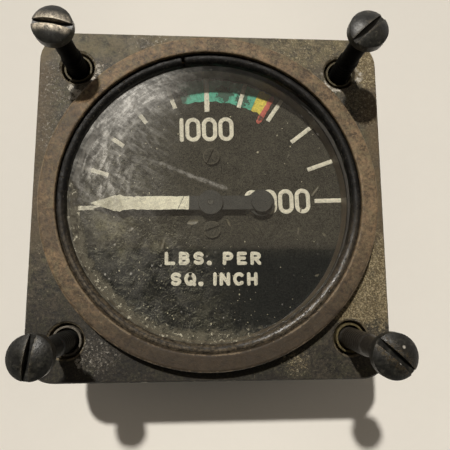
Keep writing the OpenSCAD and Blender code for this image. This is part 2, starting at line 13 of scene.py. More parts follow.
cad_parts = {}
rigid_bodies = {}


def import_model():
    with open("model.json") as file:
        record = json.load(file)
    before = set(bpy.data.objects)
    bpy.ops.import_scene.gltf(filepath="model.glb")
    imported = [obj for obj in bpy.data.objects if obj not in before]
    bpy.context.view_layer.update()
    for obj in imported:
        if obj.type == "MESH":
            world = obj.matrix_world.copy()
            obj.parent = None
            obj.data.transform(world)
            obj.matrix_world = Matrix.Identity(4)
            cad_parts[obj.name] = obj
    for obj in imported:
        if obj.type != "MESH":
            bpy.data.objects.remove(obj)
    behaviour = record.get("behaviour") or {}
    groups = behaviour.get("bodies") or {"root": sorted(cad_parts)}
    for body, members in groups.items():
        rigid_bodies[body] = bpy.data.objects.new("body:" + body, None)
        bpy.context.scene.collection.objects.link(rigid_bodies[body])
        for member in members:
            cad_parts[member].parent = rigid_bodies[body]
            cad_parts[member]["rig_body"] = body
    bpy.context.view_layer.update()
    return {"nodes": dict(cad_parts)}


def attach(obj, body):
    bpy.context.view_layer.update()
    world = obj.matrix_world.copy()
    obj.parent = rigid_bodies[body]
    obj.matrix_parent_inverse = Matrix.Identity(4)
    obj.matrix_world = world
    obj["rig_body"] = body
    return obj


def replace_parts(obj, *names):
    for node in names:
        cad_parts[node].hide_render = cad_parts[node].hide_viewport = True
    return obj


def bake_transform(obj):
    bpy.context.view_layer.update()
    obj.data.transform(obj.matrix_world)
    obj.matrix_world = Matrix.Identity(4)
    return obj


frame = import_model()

bl_info = {
    "name": "Hydraulic pressure gauge",
    "version": (1, 0, 0),
    "blender": (4, 5, 0),
    "location": "View3D > Sidebar > Gauge",
    "description": "Gives a packed gauge its worn paint, glass, dial print, screws, floor and light",
    "category": "Object",
}

MM = 0.001
# Points of a CAD surface closer than this many metres are one point
JOIN_WITHIN = 2e-6

# Sizes and places in mm, and directions in degrees: first the CAD model's, then the print's and the film's
DIAL_TOP = -5.6
GLASS_TOP = 0.2
FLANGE_HALF, CORNER_R = 30.15, 5.0
SCREW_XY = 23.5
CORNER = {"top_left": (-1, 1), "top_right": (1, 1), "bottom_left": (-1, -1), "bottom_right": (1, -1)}
DIAL_SCREWS = ((0.14, 8.9), (0.3, -4.7))
STAND_Z = -25.4
HEAD_UNDER = {"top_left": 11.2, "top_right": 12.1, "bottom_left": 12.6, "bottom_right": 14.9}
HEAD_HIGH = 2.2
SLOT_DIR = {"top_left": -6.6, "top_right": 41.6, "bottom_left": 83.0, "bottom_right": -42.4}
# The screws' thread: its pitch, and where it starts and ends under the head
PITCH = 25.4 / 32
THREAD_FROM, THREAD_TO = 7.0, 18.6
TICK_IN, TICK_OUT, MAIN_TICK_IN = 19.35, 24.35, 17.7
MARK_IN, MARK_OUT = 19.7, 24.0
FILM_R = 24.35
# Half the table's width, in metres
TABLE_HALF = 6.0

# Lamps: name, place and width in mm, and the rays that don't see it. The first one lights. The second one, a
# little larger and aside, is what shows in reflections.
LAMP_AT = (-96, 225, 437)
LAMPS = (("lamp", LAMP_AT, 18.7, "visible_glossy"),
         ("lamp_for_gloss", (-104, 236, 437), 24.0, "visible_diffuse"))
LAMP_WATTS = 2.5
LAMP_COLOUR = (1.0, 0.962, 0.897)

# The room. High up it is dark on the photo's lower side, and on its upper side warm, then grey. Lower down it
# goes from shade to light the same way. The camera itself sees only a backdrop.
ROOM_DARK, ROOM_WARM, ROOM_GREY = (0.035, 0.036, 0.034), (0.30, 0.25, 0.19), (0.16, 0.155, 0.158)
ROOM_SHADE, ROOM_LIGHT = (0.075, 0.074, 0.073), (0.46, 0.45, 0.46)
BACKDROP = (0.80, 0.77, 0.72)

# The camera as solved from the photo: its place in mm, its axes, and its focal length in the photo's pixels
CAMERA_AT = (-1.09, -13.47, 69.42)
CAMERA_AXES = ((0.99875, -0.00248, -0.05), (-0.00398, 0.99165, -0.1288), (0.0499, 0.1288, 0.9904))
FOCAL_PIXELS = 410.4
PHOTO_PIXELS = 450
SENSOR_WIDTH = 36.0


def srgb(r, g, b):
    """A colour picked on a screen, 0 to 255, as the linear values that shaders use."""
    c = np.array([r, g, b]) / 255
    return tuple(np.where(c <= 0.04045, c / 12.92, ((c + 0.055) / 1.055) ** 2.4).tolist())


def colour(name, description, *screen):
    return FloatVectorProperty(name=name, description=description, subtype="COLOR", size=3, min=0, max=1,
                               default=srgb(*screen))


def length(name, description, mm):
    return FloatProperty(name=name, description=description, unit="LENGTH", default=mm * MM, precision=5)


class GaugeSizes(PropertyGroup):
    """Sizes of what is printed, painted and rubbed."""
    bevel: length("Worn edge", "Radius that wear has put on the metal's edges", 0.12)
    numeral_height: length("Numeral height", "Height of the numbers on the dial", 4.65)
    numeral_stroke: length("Numeral stroke", "Width of the numbers' line", 0.76)
    letter_height: length("Letter height", "Height of the unit's letters", 2.4)
    letter_stroke: length("Letter stroke", "Width of the letters' line", 0.64)
    tick_width: length("Tick width", "Width of a minor tick", 0.78)
    main_tick_width: length("Main tick width", "Width of the tick at the middle of the scale", 0.95)
    print_thickness: length("Print thickness", "How far the print stands on the dial", 0.04)
    thread_depth: length("Thread depth", "Depth of the thread left open by old paint", 0.05)


class GaugeColours(PropertyGroup):
    """Colours of the finishes."""
    case: colour("Case paint", "Old black paint on the flange and the case", 38, 35, 30)
    case_pale: colour("Case paint, rubbed", "The same paint where it has gone pale", 98, 89, 74)
    corrosion: colour("Corrosion", "Crust in the flange's right corners", 166, 152, 120)
    alloy: colour("Bare alloy", "Flange metal where the paint has gone", 200, 193, 180)
    bezel: colour("Bezel", "Matt brown of the bezel ring", 140, 116, 87)
    bezel_dark: colour("Bezel, dark", "Darker patches of the bezel ring", 62, 50, 37)
    lacquer: colour("Snap ring", "Gloss black of the snap ring", 16, 15, 14)
    dial: colour("Dial", "Faded black of the dial", 54, 51, 44)
    dial_dust: colour("Dial dust", "Dust and bloom on the dial", 105, 99, 86)
    ink: colour("Print", "Cream of the numbers, ticks and letters", 240, 231, 211)
    pointer: colour("Pointer paint", "Cream of the pointer", 250, 241, 217)
    black: colour("Black paint", "Black of the hub and the counterweight", 44, 42, 38)
    green: colour("Green mark", "Working range on the dial", 92, 176, 150)
    yellow: colour("Yellow mark", "Caution range on the dial", 222, 200, 84)
    red: colour("Red mark", "Limit on the dial", 192, 98, 84)
    oxide: colour("Screw black", "Black finish of the mounting screws", 36, 35, 32)
    brass: colour("Brass", "Movement, nuts and socket", 178, 146, 84)
    bronze: colour("Bronze", "Tube and hairspring", 176, 118, 70)
    fibre: colour("Fibre", "Sealing washer", 122, 62, 48)
    film: colour("Film", "Dust and grease on the glass", 214, 210, 200)
    crust: colour("Crust", "Dirt in the corner between the glass and the ring", 106, 101, 87)
    table: colour("Table", "The floor under the gauge", 230, 226, 218)


def gauge_sizes():
    return bpy.context.scene.gauge_sizes


def gauge_colours():
    return bpy.context.scene.gauge_colours


def in_mm(value):
    return value / MM


# Surfaces: arrays of points in mm, with their four-cornered and three-cornered faces

def grid_faces(rows, cols, wrap_rows, wrap_cols):
    """Corner numbers of the quads between the neighbouring points of a grid."""
    i, j = np.meshgrid(np.arange(rows - (not wrap_rows)), np.arange(cols - (not wrap_cols)), indexing="ij")
    i2, j2 = (i + 1) % rows, (j + 1) % cols
    return np.stack([i * cols + j, i2 * cols + j, i2 * cols + j2, i * cols + j2], -1).reshape(-1, 4)


def outward(points, quads, tris):
    """Turns a closed shell's faces round if its volume, summed over cones from the origin, is negative."""
    flat = np.vstack([quads[:, [0, 1, 2]], quads[:, [0, 2, 3]], tris])
    a, b, c = (points[flat[:, k]] for k in range(3))
    if np.einsum("ij,ij->", a, np.cross(b, c)) < 0:
        return points, quads[:, ::-1], tris[:, ::-1]
    return points, quads, tris


def shell(grid, wrap_rows=False):
    """A closed skin through a grid of points: rows follow one another, and columns go round.

    Each end that isn't joined to the other is closed by a fan to the middle of its row.
    """
    rows, cols = grid.shape[:2]
    points = grid.reshape(-1, 3)
    quads = grid_faces(rows, cols, wrap_rows, True)
    tris = np.zeros((0, 3), int)
    if not wrap_rows:
        here = np.arange(cols)
        after = (here + 1) % cols
        first, last = rows * cols, rows * cols + 1
        end = (rows - 1) * cols
        tris = np.vstack([np.stack([after, here, here * 0 + first], -1),
                          np.stack([here + end, after + end, here * 0 + last], -1)])
        points = np.vstack([points, grid[[0, -1]].mean(1)])
    return outward(points, quads, tris)


def joined(shells):
    """Several shells as one, each one's corner numbers moved up past the points before it."""
    starts = np.cumsum([0] + [len(s[0]) for s in shells[:-1]])
    return tuple(np.vstack([part[k] + (start if k else 0) for part, start in zip(shells, starts)])
                 for k in range(3))


def arc(cx, cy, rx, ry, start, end, count):
    """Points on an ellipse's arc, from start to end in degrees."""
    t = np.radians(np.linspace(start, end, count))
    return np.stack([cx + rx * np.cos(t), cy + ry * np.sin(t)], -1)


def ripple(places, size, seed, waves=14):
    """Smooth unevenness of about -1 to 1: sines in seeded directions, summed, with waves of about size mm."""
    rng = np.random.default_rng(seed)
    turn = rng.normal(size=(waves, places.shape[-1]))
    long = np.linalg.norm(turn, axis=1, keepdims=True)
    turn *= 2 * math.pi / size * rng.uniform(0.5, 1.7, (waves, 1)) / long
    return np.sin(places @ turn.T + rng.uniform(0, 2 * math.pi, waves)).sum(-1) / math.sqrt(waves / 2) * 0.6


def polar(r, t, z, x=0.0, y=0.0):
    """Points at height z, at radius r and angle t round the upright line through x and y."""
    return np.stack(np.broadcast_arrays(x + r * np.cos(t), y + r * np.sin(t), z), -1)


def turned(x, y, degrees):
    """Points of a plane, turned about its middle."""
    a = math.radians(degrees)
    return np.stack([x * math.cos(a) - y * math.sin(a), x * math.sin(a) + y * math.cos(a)], -1)


def spoke(inner, outer, degrees):
    """The two ends of a line outwards from the dial's axis."""
    return turned(np.array([inner, outer]), np.zeros(2), degrees)


def length_along(path):
    """How far along the path each of its points is."""
    return np.concatenate([[0], np.cumsum(np.linalg.norm(np.diff(path, axis=0), axis=1))])


def resampled(path, step):
    """The same path with its points step mm apart."""
    run = length_along(path)
    at = np.linspace(0, run[-1], max(2, int(round(run[-1] / step)) + 1))
    return np.stack([np.interp(at, run, column) for column in path.T], -1)


def stroke(path, width, low, high, closed=False, round_ends=True, seed=1, uneven=0.04):
    """A painted line: its path set off to both sides by half the width, and flat on top.

    Where it isn't closed, each end goes on by half the width and narrows there along a half circle.
    The half width varies a little along the line, as a brush or a screen leaves it.
    """
    half = width / 2
    path = resampled(np.asarray(path, float), 0.1)
    if closed:
        path = path[:-1]
    elif round_ends:
        for end, inner in ((0, 1), (-1, -2)):
            way = path[end] - path[inner]
            tip = path[end] + way / np.linalg.norm(way) * half * np.linspace(0, 1, 7)[1:, None] ** 0.5
            path = np.vstack([tip[::-1], path]) if end == 0 else np.vstack([path, tip])
    before, after = np.roll(path, 1, 0), np.roll(path, -1, 0)
    if not closed:
        before[0], after[-1] = path[0], path[-1]
    way = after - before
    way /= np.linalg.norm(way, axis=1, keepdims=True)
    side = np.stack([-way[:, 1], way[:, 0]], -1)
    wide = np.full(len(path), half)
    if round_ends and not closed:
        run = length_along(path)
        left = np.minimum(run, run[-1] - run)
        wide *= np.sqrt(1 - np.clip(1 - left / half, 0, 0.985) ** 2)
    edges = [wide * (1 + uneven * ripple(path, 0.9, seed + k)) for k in (0, 50)]
    left, right = path + side * edges[0][:, None], path - side * edges[1][:, None]
    inset = np.minimum(0.04, wide * 0.3)[:, None] * side
    rows = [(left, low), (left - inset * 0.2, high - 0.012), (left - inset, high), (right + inset, high),
            (right + inset * 0.2, high - 0.012), (right, low)]
    return shell(np.stack([np.column_stack([p, np.full(len(p), z)]) for p, z in rows], 1), closed)


def smooth_object(mesh, material, sharp=None):
    """Puts a mesh in the scene, shaded smooth but for edges over sharp degrees."""
    mesh.polygons.foreach_set("use_smooth", np.ones(len(mesh.polygons), bool))
    if sharp:
        mesh.set_sharp_from_angle(angle=math.radians(sharp))
    mesh.materials.append(material)
    obj = bpy.data.objects.new(mesh.name, mesh)
    bpy.context.scene.collection.objects.link(obj)
    return obj


def piece(name, parts, material, body, sharp=32, tags=None):
    """Makes shells one object on a CAD body, with edges over sharp degrees left sharp."""
    points, quads, tris = parts if isinstance(parts, tuple) else joined(parts)
    mesh = bpy.data.meshes.new(name)
    mesh.from_pydata((points * MM).tolist(), [], quads.tolist() + tris.tolist())
    for tag, values in (tags or {}).items():
        spread = np.zeros(len(points), np.float32)
        spread[:len(values)] = values
        mesh.attributes.new(tag, "FLOAT", "POINT").data.foreach_set("value", spread)
    obj = smooth_object(mesh, material, sharp)
    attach(obj, body)
    return obj


def cad_form(node):
    """A CAD node's own surface, its loose triangles joined, ready to be changed."""
    form = bmesh.new()
    form.from_mesh(frame["nodes"][node].data)
    bmesh.ops.remove_doubles(form, verts=form.verts, dist=JOIN_WITHIN)
    return form


def mesh_of(form, name):
    """The form as a new mesh."""
    mesh = bpy.data.meshes.new(name)
    form.to_mesh(mesh)
    form.free()
    return mesh


def worn_copy(node, material, width=None, keep_above=None, name=None):
    """A CAD node's own surface, its flats made whole and its edges rounded by wear."""
    form = cad_form(node)
    if keep_above is not None:
        bmesh.ops.delete(form, geom=[v for v in form.verts if v.co.z < keep_above * MM], context="VERTS")
        bmesh.ops.holes_fill(form, edges=[e for e in form.edges if e.is_boundary], sides=0)
    bmesh.ops.dissolve_limit(form, angle_limit=math.radians(0.4), verts=form.verts, edges=form.edges)
    obj = smooth_object(mesh_of(form, name or node + "_worn"), material)
    bevel = obj.modifiers.new("Worn edges", "BEVEL")
    bevel.width = width or gauge_sizes().bevel
    bevel.segments = 3
    bevel.limit_method = "ANGLE"
    bevel.angle_limit = math.radians(32)
    bevel.miter_outer = "MITER_ARC"
    obj.modifiers.new("Flats stay flat", "WEIGHTED_NORMAL").keep_sharp = True
    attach(obj, frame["nodes"][node]["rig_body"])
    return obj


def curling_tube(material):
    """The Bourdon tube's CAD surface as one smooth-shaded object, not tied to any body."""
    tube = smooth_object(mesh_of(cad_form("bourdon_tube"), "bourdon_tube_curling"), material, 40)
    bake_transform(tube)
    return tube


# Node trees: each call adds one node, wires or sets its inputs, and gives back its output

def sign(operation, swapped=False):
    """A method that works out operation on a wire and another value, where a tuple is a vector."""
    def method(self, other):
        both = (other, self) if swapped else (self, other)
        return (self.bench.vector if isinstance(other, tuple) else self.bench.math)(operation, *both)
    return method


class Wire:
    """A node's output. A sign between it and another wire or a number adds the node that works that out."""
    __add__, __sub__, __mul__, __truediv__ = map(sign, ("ADD", "SUBTRACT", "MULTIPLY", "DIVIDE"))
    __rsub__, __rmul__, __rtruediv__ = (sign(word, True) for word in ("SUBTRACT", "MULTIPLY", "DIVIDE"))
    __pow__ = sign("POWER")

    def __init__(self, bench, socket):
        self.bench, self.socket = bench, socket

    def __abs__(self):
        return self.bench.math("ABSOLUTE", self)


class Bench:
    """Adds nodes to one shader tree."""

    def __init__(self, tree):
        self.tree = tree

    def node(self, kind):
        return next(node for node in self.tree.nodes if node.type == kind)

    def plug(self, value, socket):
        """Wires a value into a socket, or sets the socket to it."""
        if isinstance(value, Wire):
            self.tree.links.new(value.socket, socket)
        elif socket.type == "RGBA" and len(value) == 3:
            socket.default_value = (*value, 1)
        else:
            socket.default_value = value

    def add(self, kind, inputs=(), out=0, **fields):
        """Adds a node. out names its output, or several outputs, and one wire is given back for each."""
        made = self.tree.nodes.new(kind)
        for field, value in fields.items():
            setattr(made, field, value)
        for socket, value in dict(inputs).items():
            self.plug(value, made.inputs[socket])
        if isinstance(out, tuple):
            return [Wire(self, made.outputs[name]) for name in out]
        return Wire(self, made.outputs[out])

    def math(self, operation, a, b=0.0, clamp=False):
        return self.add("ShaderNodeMath", {0: a, 1: b}, operation=operation, use_clamp=clamp)

    def vector(self, operation, a, b=(0, 0, 0), out=0):
        return self.add("ShaderNodeVectorMath", {0: a, 1: b}, out, operation=operation)

    def most(self, *values):
        return reduce(lambda a, b: self.math("MAXIMUM", a, b), values)

    def least(self, *values):
        return reduce(lambda a, b: self.math("MINIMUM", a, b), values)

    def gap(self, a, b):
        """How far apart two places are."""
        return self.vector("DISTANCE", a, b, "Value")

    def pair(self, x, y):
        return self.add("ShaderNodeCombineXYZ", {0: x, 1: y})

    def radius(self, x, y):
        return self.vector("LENGTH", self.pair(x, y), out="Value")

    def parts(self, vector):
        return self.add("ShaderNodeSeparateXYZ", {0: vector}, (0, 1, 2))

    def scaled(self, vector, factor):
        return self.add("ShaderNodeVectorMath", {0: vector, "Scale": factor}, operation="SCALE")

    def place(self):
        """Object coordinates in mm."""
        return self.scaled(self.add("ShaderNodeTexCoord", out="Object"), 1 / MM)

    def noise(self, place, size, detail=3.0, rough=0.55, distortion=0.0):
        return self.add("ShaderNodeTexNoise", {"Vector": place, "Scale": 1 / size, "Detail": detail,
                                               "Roughness": rough, "Distortion": distortion})

    def cells(self, place, size, feature="F1", out="Distance"):
        return self.add("ShaderNodeTexVoronoi", {"Vector": place, "Scale": 1 / size}, out, feature=feature)

    def span(self, value, low, high, to_low=0.0, to_high=1.0):
        """value's way from low to high, eased at both ends, as a value from to_low to to_high."""
        ends = {"From Min": low, "From Max": high, "To Min": to_low, "To Max": to_high}
        return self.add("ShaderNodeMapRange", {"Value": value, **ends}, interpolation_type="SMOOTHSTEP")

    def blend(self, share, a, b):
        """Colour a where share is 0, and b where it is 1."""
        return self.add("ShaderNodeMix", {0: share, 6: a, 7: b}, 2, data_type="RGBA")

    def use(self, group, out, **inputs):
        """Adds a node group. An underscore in an input's name stands for a space."""
        inputs = {name.replace("_", " "): value for name, value in inputs.items()}
        return self.add("ShaderNodeGroup", inputs, out, node_tree=bpy.data.node_groups[group])

    def ragged(self, place, mask, size, sharpness):
        """The mask broken up by noise with blotches of size mm."""
        return self.use("Patches", "Amount", Place=place, Mask=mask, Size=size, Sharpness=sharpness)

    def dress(self, height=None, depth=0.03, **sockets):
        """Wires or sets the principled shader's sockets. height is bumped by depth mm."""
        shader = self.node("BSDF_PRINCIPLED")
        for name, value in sockets.items():
            self.plug(value, shader.inputs[name.replace("_", " ")])
        if height is not None:
            bump = self.add("ShaderNodeBump", {"Height": height, "Strength": 1.0, "Distance": depth * MM})
            self.plug(bump, shader.inputs["Normal"])


# What the sockets of the effects carry. Any other one is a plain value.
KINDS = {**dict.fromkeys(("Place", "Centre", "From", "To"), "NodeSocketVector"),
         **dict.fromkeys(("Dark", "Pale", "Tint", "Fleck colour", "Colour"), "NodeSocketColor")}


def effect(name, inputs, build):
    """A shader node group with these inputs. build wires them up and gives back its outputs."""
    tree = bpy.data.node_groups.new(name, "ShaderNodeTree")

    def socket(title, side):
        tree.interface.new_socket(name=title, in_out=side, socket_type=KINDS.get(title, "NodeSocketFloat"))
    for title in inputs:
        socket(title, "INPUT")
    b = Bench(tree)
    entry = tree.nodes.new("NodeGroupInput")
    made = build(b, {title: Wire(b, entry.outputs[title]) for title in inputs})
    for title in made:
        socket(title, "OUTPUT")
    leave = tree.nodes.new("NodeGroupOutput")
    for title, value in made.items():
        b.plug(value, leave.inputs[title])


def mottle(b, i):
    """Paint that varies in broad patches, in blotches and in grain, with a second hue and small flecks."""
    patch = b.noise(i["Place"], i["Patch"], 4.0, 0.6, 0.4)
    blotch = b.noise(i["Place"] + (3.7, 8.9, 1.3), i["Patch"] * 0.27, 5.0, 0.78)
    grain = b.noise(i["Place"], i["Grain"], 3.0, 0.75)
    other = i["Place"] + (31.7, 12.1, 7.3)
    fleck = b.noise(other, i["Grain"], 3.0, 0.7)
    share = b.span(patch, 0.34, 0.66, -0.05, 0.3) + b.span(blotch, 0.38, 0.62, -0.05, 0.4)
    share = b.math("ADD", share, b.span(grain, 0.38, 0.62, -0.05, 0.4), clamp=True)
    hue = b.span(b.noise(other, i["Patch"] * 0.5, 4.0, 0.7), 0.42, 0.62, 0.0, 0.7)
    flecks = b.span(fleck + i["Flecks"], 0.7, 0.77)
    shown = b.blend(share, i["Dark"], b.blend(hue, i["Pale"], i["Tint"]))
    return {"Colour": b.blend(flecks, shown, i["Fleck colour"]), "Grain": grain, "Patch": patch}


def patches(b, i):
    """A mask broken up by noise: whole where the mask is 1, gone where it is 0, ragged between."""
    rough = b.span(b.noise(i["Place"], i["Size"], 6.0, 0.75, 0.5), 0.3, 0.7, 0.15, 0.85)
    level = rough + (i["Mask"] - 0.5) * 0.9
    return {"Amount": b.span(level, 0.5, i["Sharpness"])}


def near(b, i):
    """1 at a point, falling to 0 at the radius."""
    away = b.gap(i["Place"], i["Centre"])
    return {"Mask": b.span(away / i["Radius"], 0.25, 1.0, 1.0, 0.0)}


def plan_of(b, i):
    """How far a point of the flange is inside its edge, and from the nearest screw's and the dial's axis."""
    x, y, _ = b.parts(b.vector("ABSOLUTE", i["Place"]))
    over = [b.most(v - (FLANGE_HALF - CORNER_R), 0.0) for v in (x, y)]
    corner = b.math("SQRT", over[0] ** 2.0 + over[1] ** 2.0)
    hole = b.radius(x - SCREW_XY, y - SCREW_XY)
    axis = b.radius(x, y)
    return {"Inside": CORNER_R - corner, "Hole": hole, "Axis": axis}


def segment(b, i):
    """A scratch from one point to another: narrow, soft at its sides, broken up along its length."""
    along = b.vector("SUBTRACT", i["To"], i["From"])
    off = b.vector("SUBTRACT", i["Place"], i["From"])
    share = b.math("DIVIDE", b.vector("DOT_PRODUCT", off, along, "Value"),
                   b.vector("DOT_PRODUCT", along, along, "Value"), clamp=True)
    foot = b.scaled(along, share)
    wander = (b.noise(i["Place"], 2.5) - 0.5) * 1.2
    away = b.gap(off, foot) + abs(wander)
    broken = b.span(b.noise(i["Place"], 0.6, 4.0, 0.7), 0.3, 0.62)
    side = b.span(away / i["Width"], 0.3, 1.0, 1.0, 0.0)
    return {"Mask": side * broken}


def dust(b, i):
    """Small separate specks, each in its own cell, most cells empty."""
    cell, shade = b.cells(i["Place"], i["Size"], out=("Distance", "Color"))
    pick = b.parts(shade)
    there = b.math("LESS_THAN", pick[0], i["Amount"])
    return {"Mask": there * b.span(cell / b.span(pick[1], 0.0, 1.0, 0.12, 0.42), 0.5, 1.0, 1.0, 0.0)}


def lathe(b, i):
    """Fine rings round the Z axis, as a lathe or a polishing wheel leaves them."""
    x, y, z = b.parts(i["Place"])
    r = b.radius(x, y)
    ring = b.noise(b.pair(r, z * 0.6), i["Pitch"], 2.0, 0.5)
    return {"Height": ring * 0.8 + b.noise(i["Place"], 0.3) * 0.2}


def make_effects():
    effect("Mottle", ("Place", "Patch", "Grain", "Flecks", "Dark", "Pale", "Tint", "Fleck colour"), mottle)
    effect("Patches", ("Place", "Mask", "Size", "Sharpness"), patches)
    effect("Near", ("Place", "Centre", "Radius"), near)
    effect("Plan", ("Place",), plan_of)
    effect("Scratch", ("Place", "From", "To", "Width"), segment)
    effect("Dust", ("Place", "Size", "Amount"), dust)
    effect("Lathe", ("Place", "Pitch"), lathe)


def new_material(name):
    """An empty node material, the bench for its tree, and its object coordinates in mm."""
    if name in bpy.data.materials:
        bpy.data.materials.remove(bpy.data.materials[name])
    material = bpy.data.materials.new(name)
    material.use_nodes = True
    bench = Bench(material.node_tree)
    return material, bench, bench.place()


def times(main, factor):
    """A colour made darker or lighter."""
    return tuple(min(1.0, v * factor) for v in main)


def mottled(b, p, patch, grain, dark, pale, tint=None, flecks=-1.0, fleck=None):
    """Colour, grain and patches of paint between dark and pale. More flecks show where flecks is larger."""
    return b.use("Mottle", ("Colour", "Grain", "Patch"), Place=p, Patch=patch, Grain=grain, Flecks=flecks,
                 Dark=dark, Pale=pale, Tint=tint or pale, Fleck_colour=fleck or pale)


def spots(b, p, height, *places):
    """The largest of several round masks at one height, each given as x, y and radius, in mm."""
    return b.most(0.0, *(b.use("Near", "Mask", Place=p, Centre=(x, y, height), Radius=radius)
                         for x, y, radius in places))


def case_material():
    """Worn black paint on a light alloy: brown at the sides, painted shade low down, crusted on the right."""
    c = gauge_colours()
    m, b, p = new_material("case_paint")
    base, grain, patch = mottled(b, p, 4.2, 0.5, c.case, c.case_pale, tint=srgb(92, 90, 66), flecks=0.06,
                                 fleck=srgb(150, 138, 116))
    x, y, z = b.parts(p)
    inside, hole, axis = b.use("Plan", ("Inside", "Hole", "Axis"), Place=p)
    cloud = b.noise(p, 2.6, 5.0, 0.7)
    fine = b.noise(p, 0.45, 4.0, 0.85)
    face = b.span(z, -0.6, -0.1)
    brown = b.span(y, -13.0, -3.0) * b.span(abs(x), 26.0, 29.0)
    olive = b.span(y, 23.0, 27.0) * b.span(cloud, 0.36, 0.6)
    paint = b.blend(brown * b.span(cloud, 0.3, 0.6, 0.3, 0.85), base,
                    b.blend(b.span(x, 5.0, -5.0), srgb(97, 82, 60), srgb(90, 77, 58)))
    pits = b.noise(p + (8.0, 6.0, 3.0), 0.34, 3.0, 0.7)
    paint = b.blend(b.span(pits, 0.44, 0.36, 0.0, 0.5), paint, srgb(30, 27, 22))
    paint = b.blend(b.span(pits, 0.6, 0.68, 0.0, 0.4), paint, srgb(140, 130, 112))
    paint = b.blend(olive * 0.5, paint, srgb(118, 108, 82))
    # Painted shade: the paint is darkened towards the bottom of the flange, less so at its right.
    low = b.span(y, -8.0, -24.0) * b.span(x, 24.0, 6.0, 0.6, 1.0)
    paint = b.blend(low * b.span(fine, 0.36, 0.62, 0.95, 0.55), paint, srgb(27, 25, 23))
    thick = (face * spots(b, p, 0, (28.8, 24.5, 6.5), (28.5, -14.0, 12.5), (25.0, -19.0, 4.5),
                          (22.5, -18.9, 4.0)))
    thin = (face * spots(b, p, 0, (16.0, 29.0, 11.0), (-10.0, 29.0, 6.0), (-18.5, -25.5, 5.0),
                         (23.0, 28.0, 6.5), (-27.0, 20.5, 6.5), (-27.0, 12.0, 5.0), (27.0, 17.5, 7.0),
                         (14.0, -27.0, 4.0), (27.5, -22.0, 4.0)))
    crust = b.ragged(p, thick * 0.95, 1.5, 0.75)
    bloom = b.ragged(p, thin * 0.66, 1.2, 0.7)
    grit = b.noise(p + (2.0, 5.0, 9.0), 0.28, 2.0, 0.6)
    tone = b.blend(b.span(b.noise(p, 1.3, 4.0, 0.7) * 0.5 + grit * 0.5, 0.42, 0.58), srgb(104, 90, 64),
                   c.corrosion)
    tone = b.blend(b.span(x, -6.0, -12.0), tone, srgb(116, 110, 102))
    speck = b.span(fine * 0.6 + grit * 0.4, 0.42, 0.58) * b.most(crust, bloom * 0.5)
    paint = b.blend(crust * b.span(y, -24.0, -20.0, 0.2, 0.75), paint, srgb(96, 84, 60))
    paint = b.blend(speck, paint, tone)
    salt = b.span(b.noise(p + (7.0, 3.0, 1.0), 0.5, 4.0, 0.8), 0.55, 0.66) * (b.most(thin, thick) * 0.75)
    paint = b.blend(salt, paint, b.blend(b.span(x, -10.0, 10.0), srgb(190, 184, 172), srgb(188, 176, 148)))
    bare_at = (spots(b, p, 0, (-23.4, 18.3, 2.2), (-24.4, 19.4, 1.5), (-20.2, 23.4, 2.4), (-20.8, 21.9, 1.3),
                     (21.9, 21.4, 2.4), (20.9, 23.3, 1.8), (22.9, 20.2, 1.6), (26.7, 22.8, 1.9),
                     (-21.3, -27.0, 1.3)) * face)
    rims = b.span(hole, 3.5, 3.05) * b.span(b.noise(p, 2.4), 0.42, 0.66, 0.0, 0.75)
    edge = b.span(inside, 0.35, 0.0) * b.span(z, -0.5, -0.15) * 0.5
    bare_at = b.most(bare_at * 0.72, rims * face, edge)
    bare = b.ragged(p, bare_at, 1.3, 0.7)
    bare = bare * b.span(fine, 0.36, 0.58, 0.2, 1.0)
    broken = b.span(b.noise(p, 1.4, 4.0, 0.7), 0.42, 0.58, 0.15, 1.0)
    # Painted light: the holes' walls are lightened so the shaded gap round each nut doesn't go black.
    wall = b.span(hole, 3.5, 3.2) * b.span(z, -0.02, -0.2) * broken
    shown = b.blend(wall * 0.8, b.blend(bare, paint, c.alloy), srgb(124, 112, 90))
    # A dark ring on the flange round the bezel's foot: grime, and painted shade of the crevice there.
    grime = b.span(axis, 28.25, 28.9, 0.85, 0.0) * face
    shown = b.blend(grime, shown, srgb(22, 19, 15))
    height = grain * 0.8 + speck * fine
    b.dress(height - bare * 0.4, 0.1, Base_Color=shown, Metallic=bare * 0.3, Specular_IOR_Level=0.35,
            Roughness=b.span(patch, 0.3, 0.7, 0.56, 0.7) + speck * 0.2)
    return m


def bezel_material():
    """Matt brown in rusty and olive blotches, with painted shade darkening it towards the bottom, rubbed at
    its edges.
    """
    c = gauge_colours()
    m, b, p = new_material("bezel_brown")
    base, grain, _ = mottled(b, p, 3.4, 0.5, c.bezel_dark, c.bezel, tint=srgb(112, 104, 78), flecks=0.05,
                             fleck=srgb(150, 134, 108))
    worn = b.add("ShaderNodeAttribute", out="Fac", attribute_name="worn")
    rub = b.ragged(p, worn, 1.1, 0.7)
    x, y, _ = b.parts(p)
    # Painted shade: the ring goes darker towards the bottom, a little more so on the right.
    painted_low_shade = b.span(y - x * 0.15, -4.0, -27.0) * 0.9
    stain = b.ragged(p, spots(b, p, 3.0, (-28.5, 4.0, 24.0)) * 0.8, 6.0, 0.8)
    shown = b.blend(stain * 0.45, base, srgb(70, 60, 48))
    shown = b.blend(painted_low_shade, shown, srgb(52, 44, 35))
    shown = b.blend(spots(b, p, 3.0, (28.0, -2.0, 16.0)) * 0.12, shown, srgb(142, 120, 92))
    shown = b.blend(rub * 0.4, shown, srgb(150, 132, 106))
    turning = b.use("Lathe", "Height", Place=p, Pitch=0.35)
    b.dress(grain + turning * 0.25, 0.07, Base_Color=shown, Roughness=b.span(grain, 0.3, 0.7, 0.55, 0.7),
            Specular_IOR_Level=0.35)
    return m


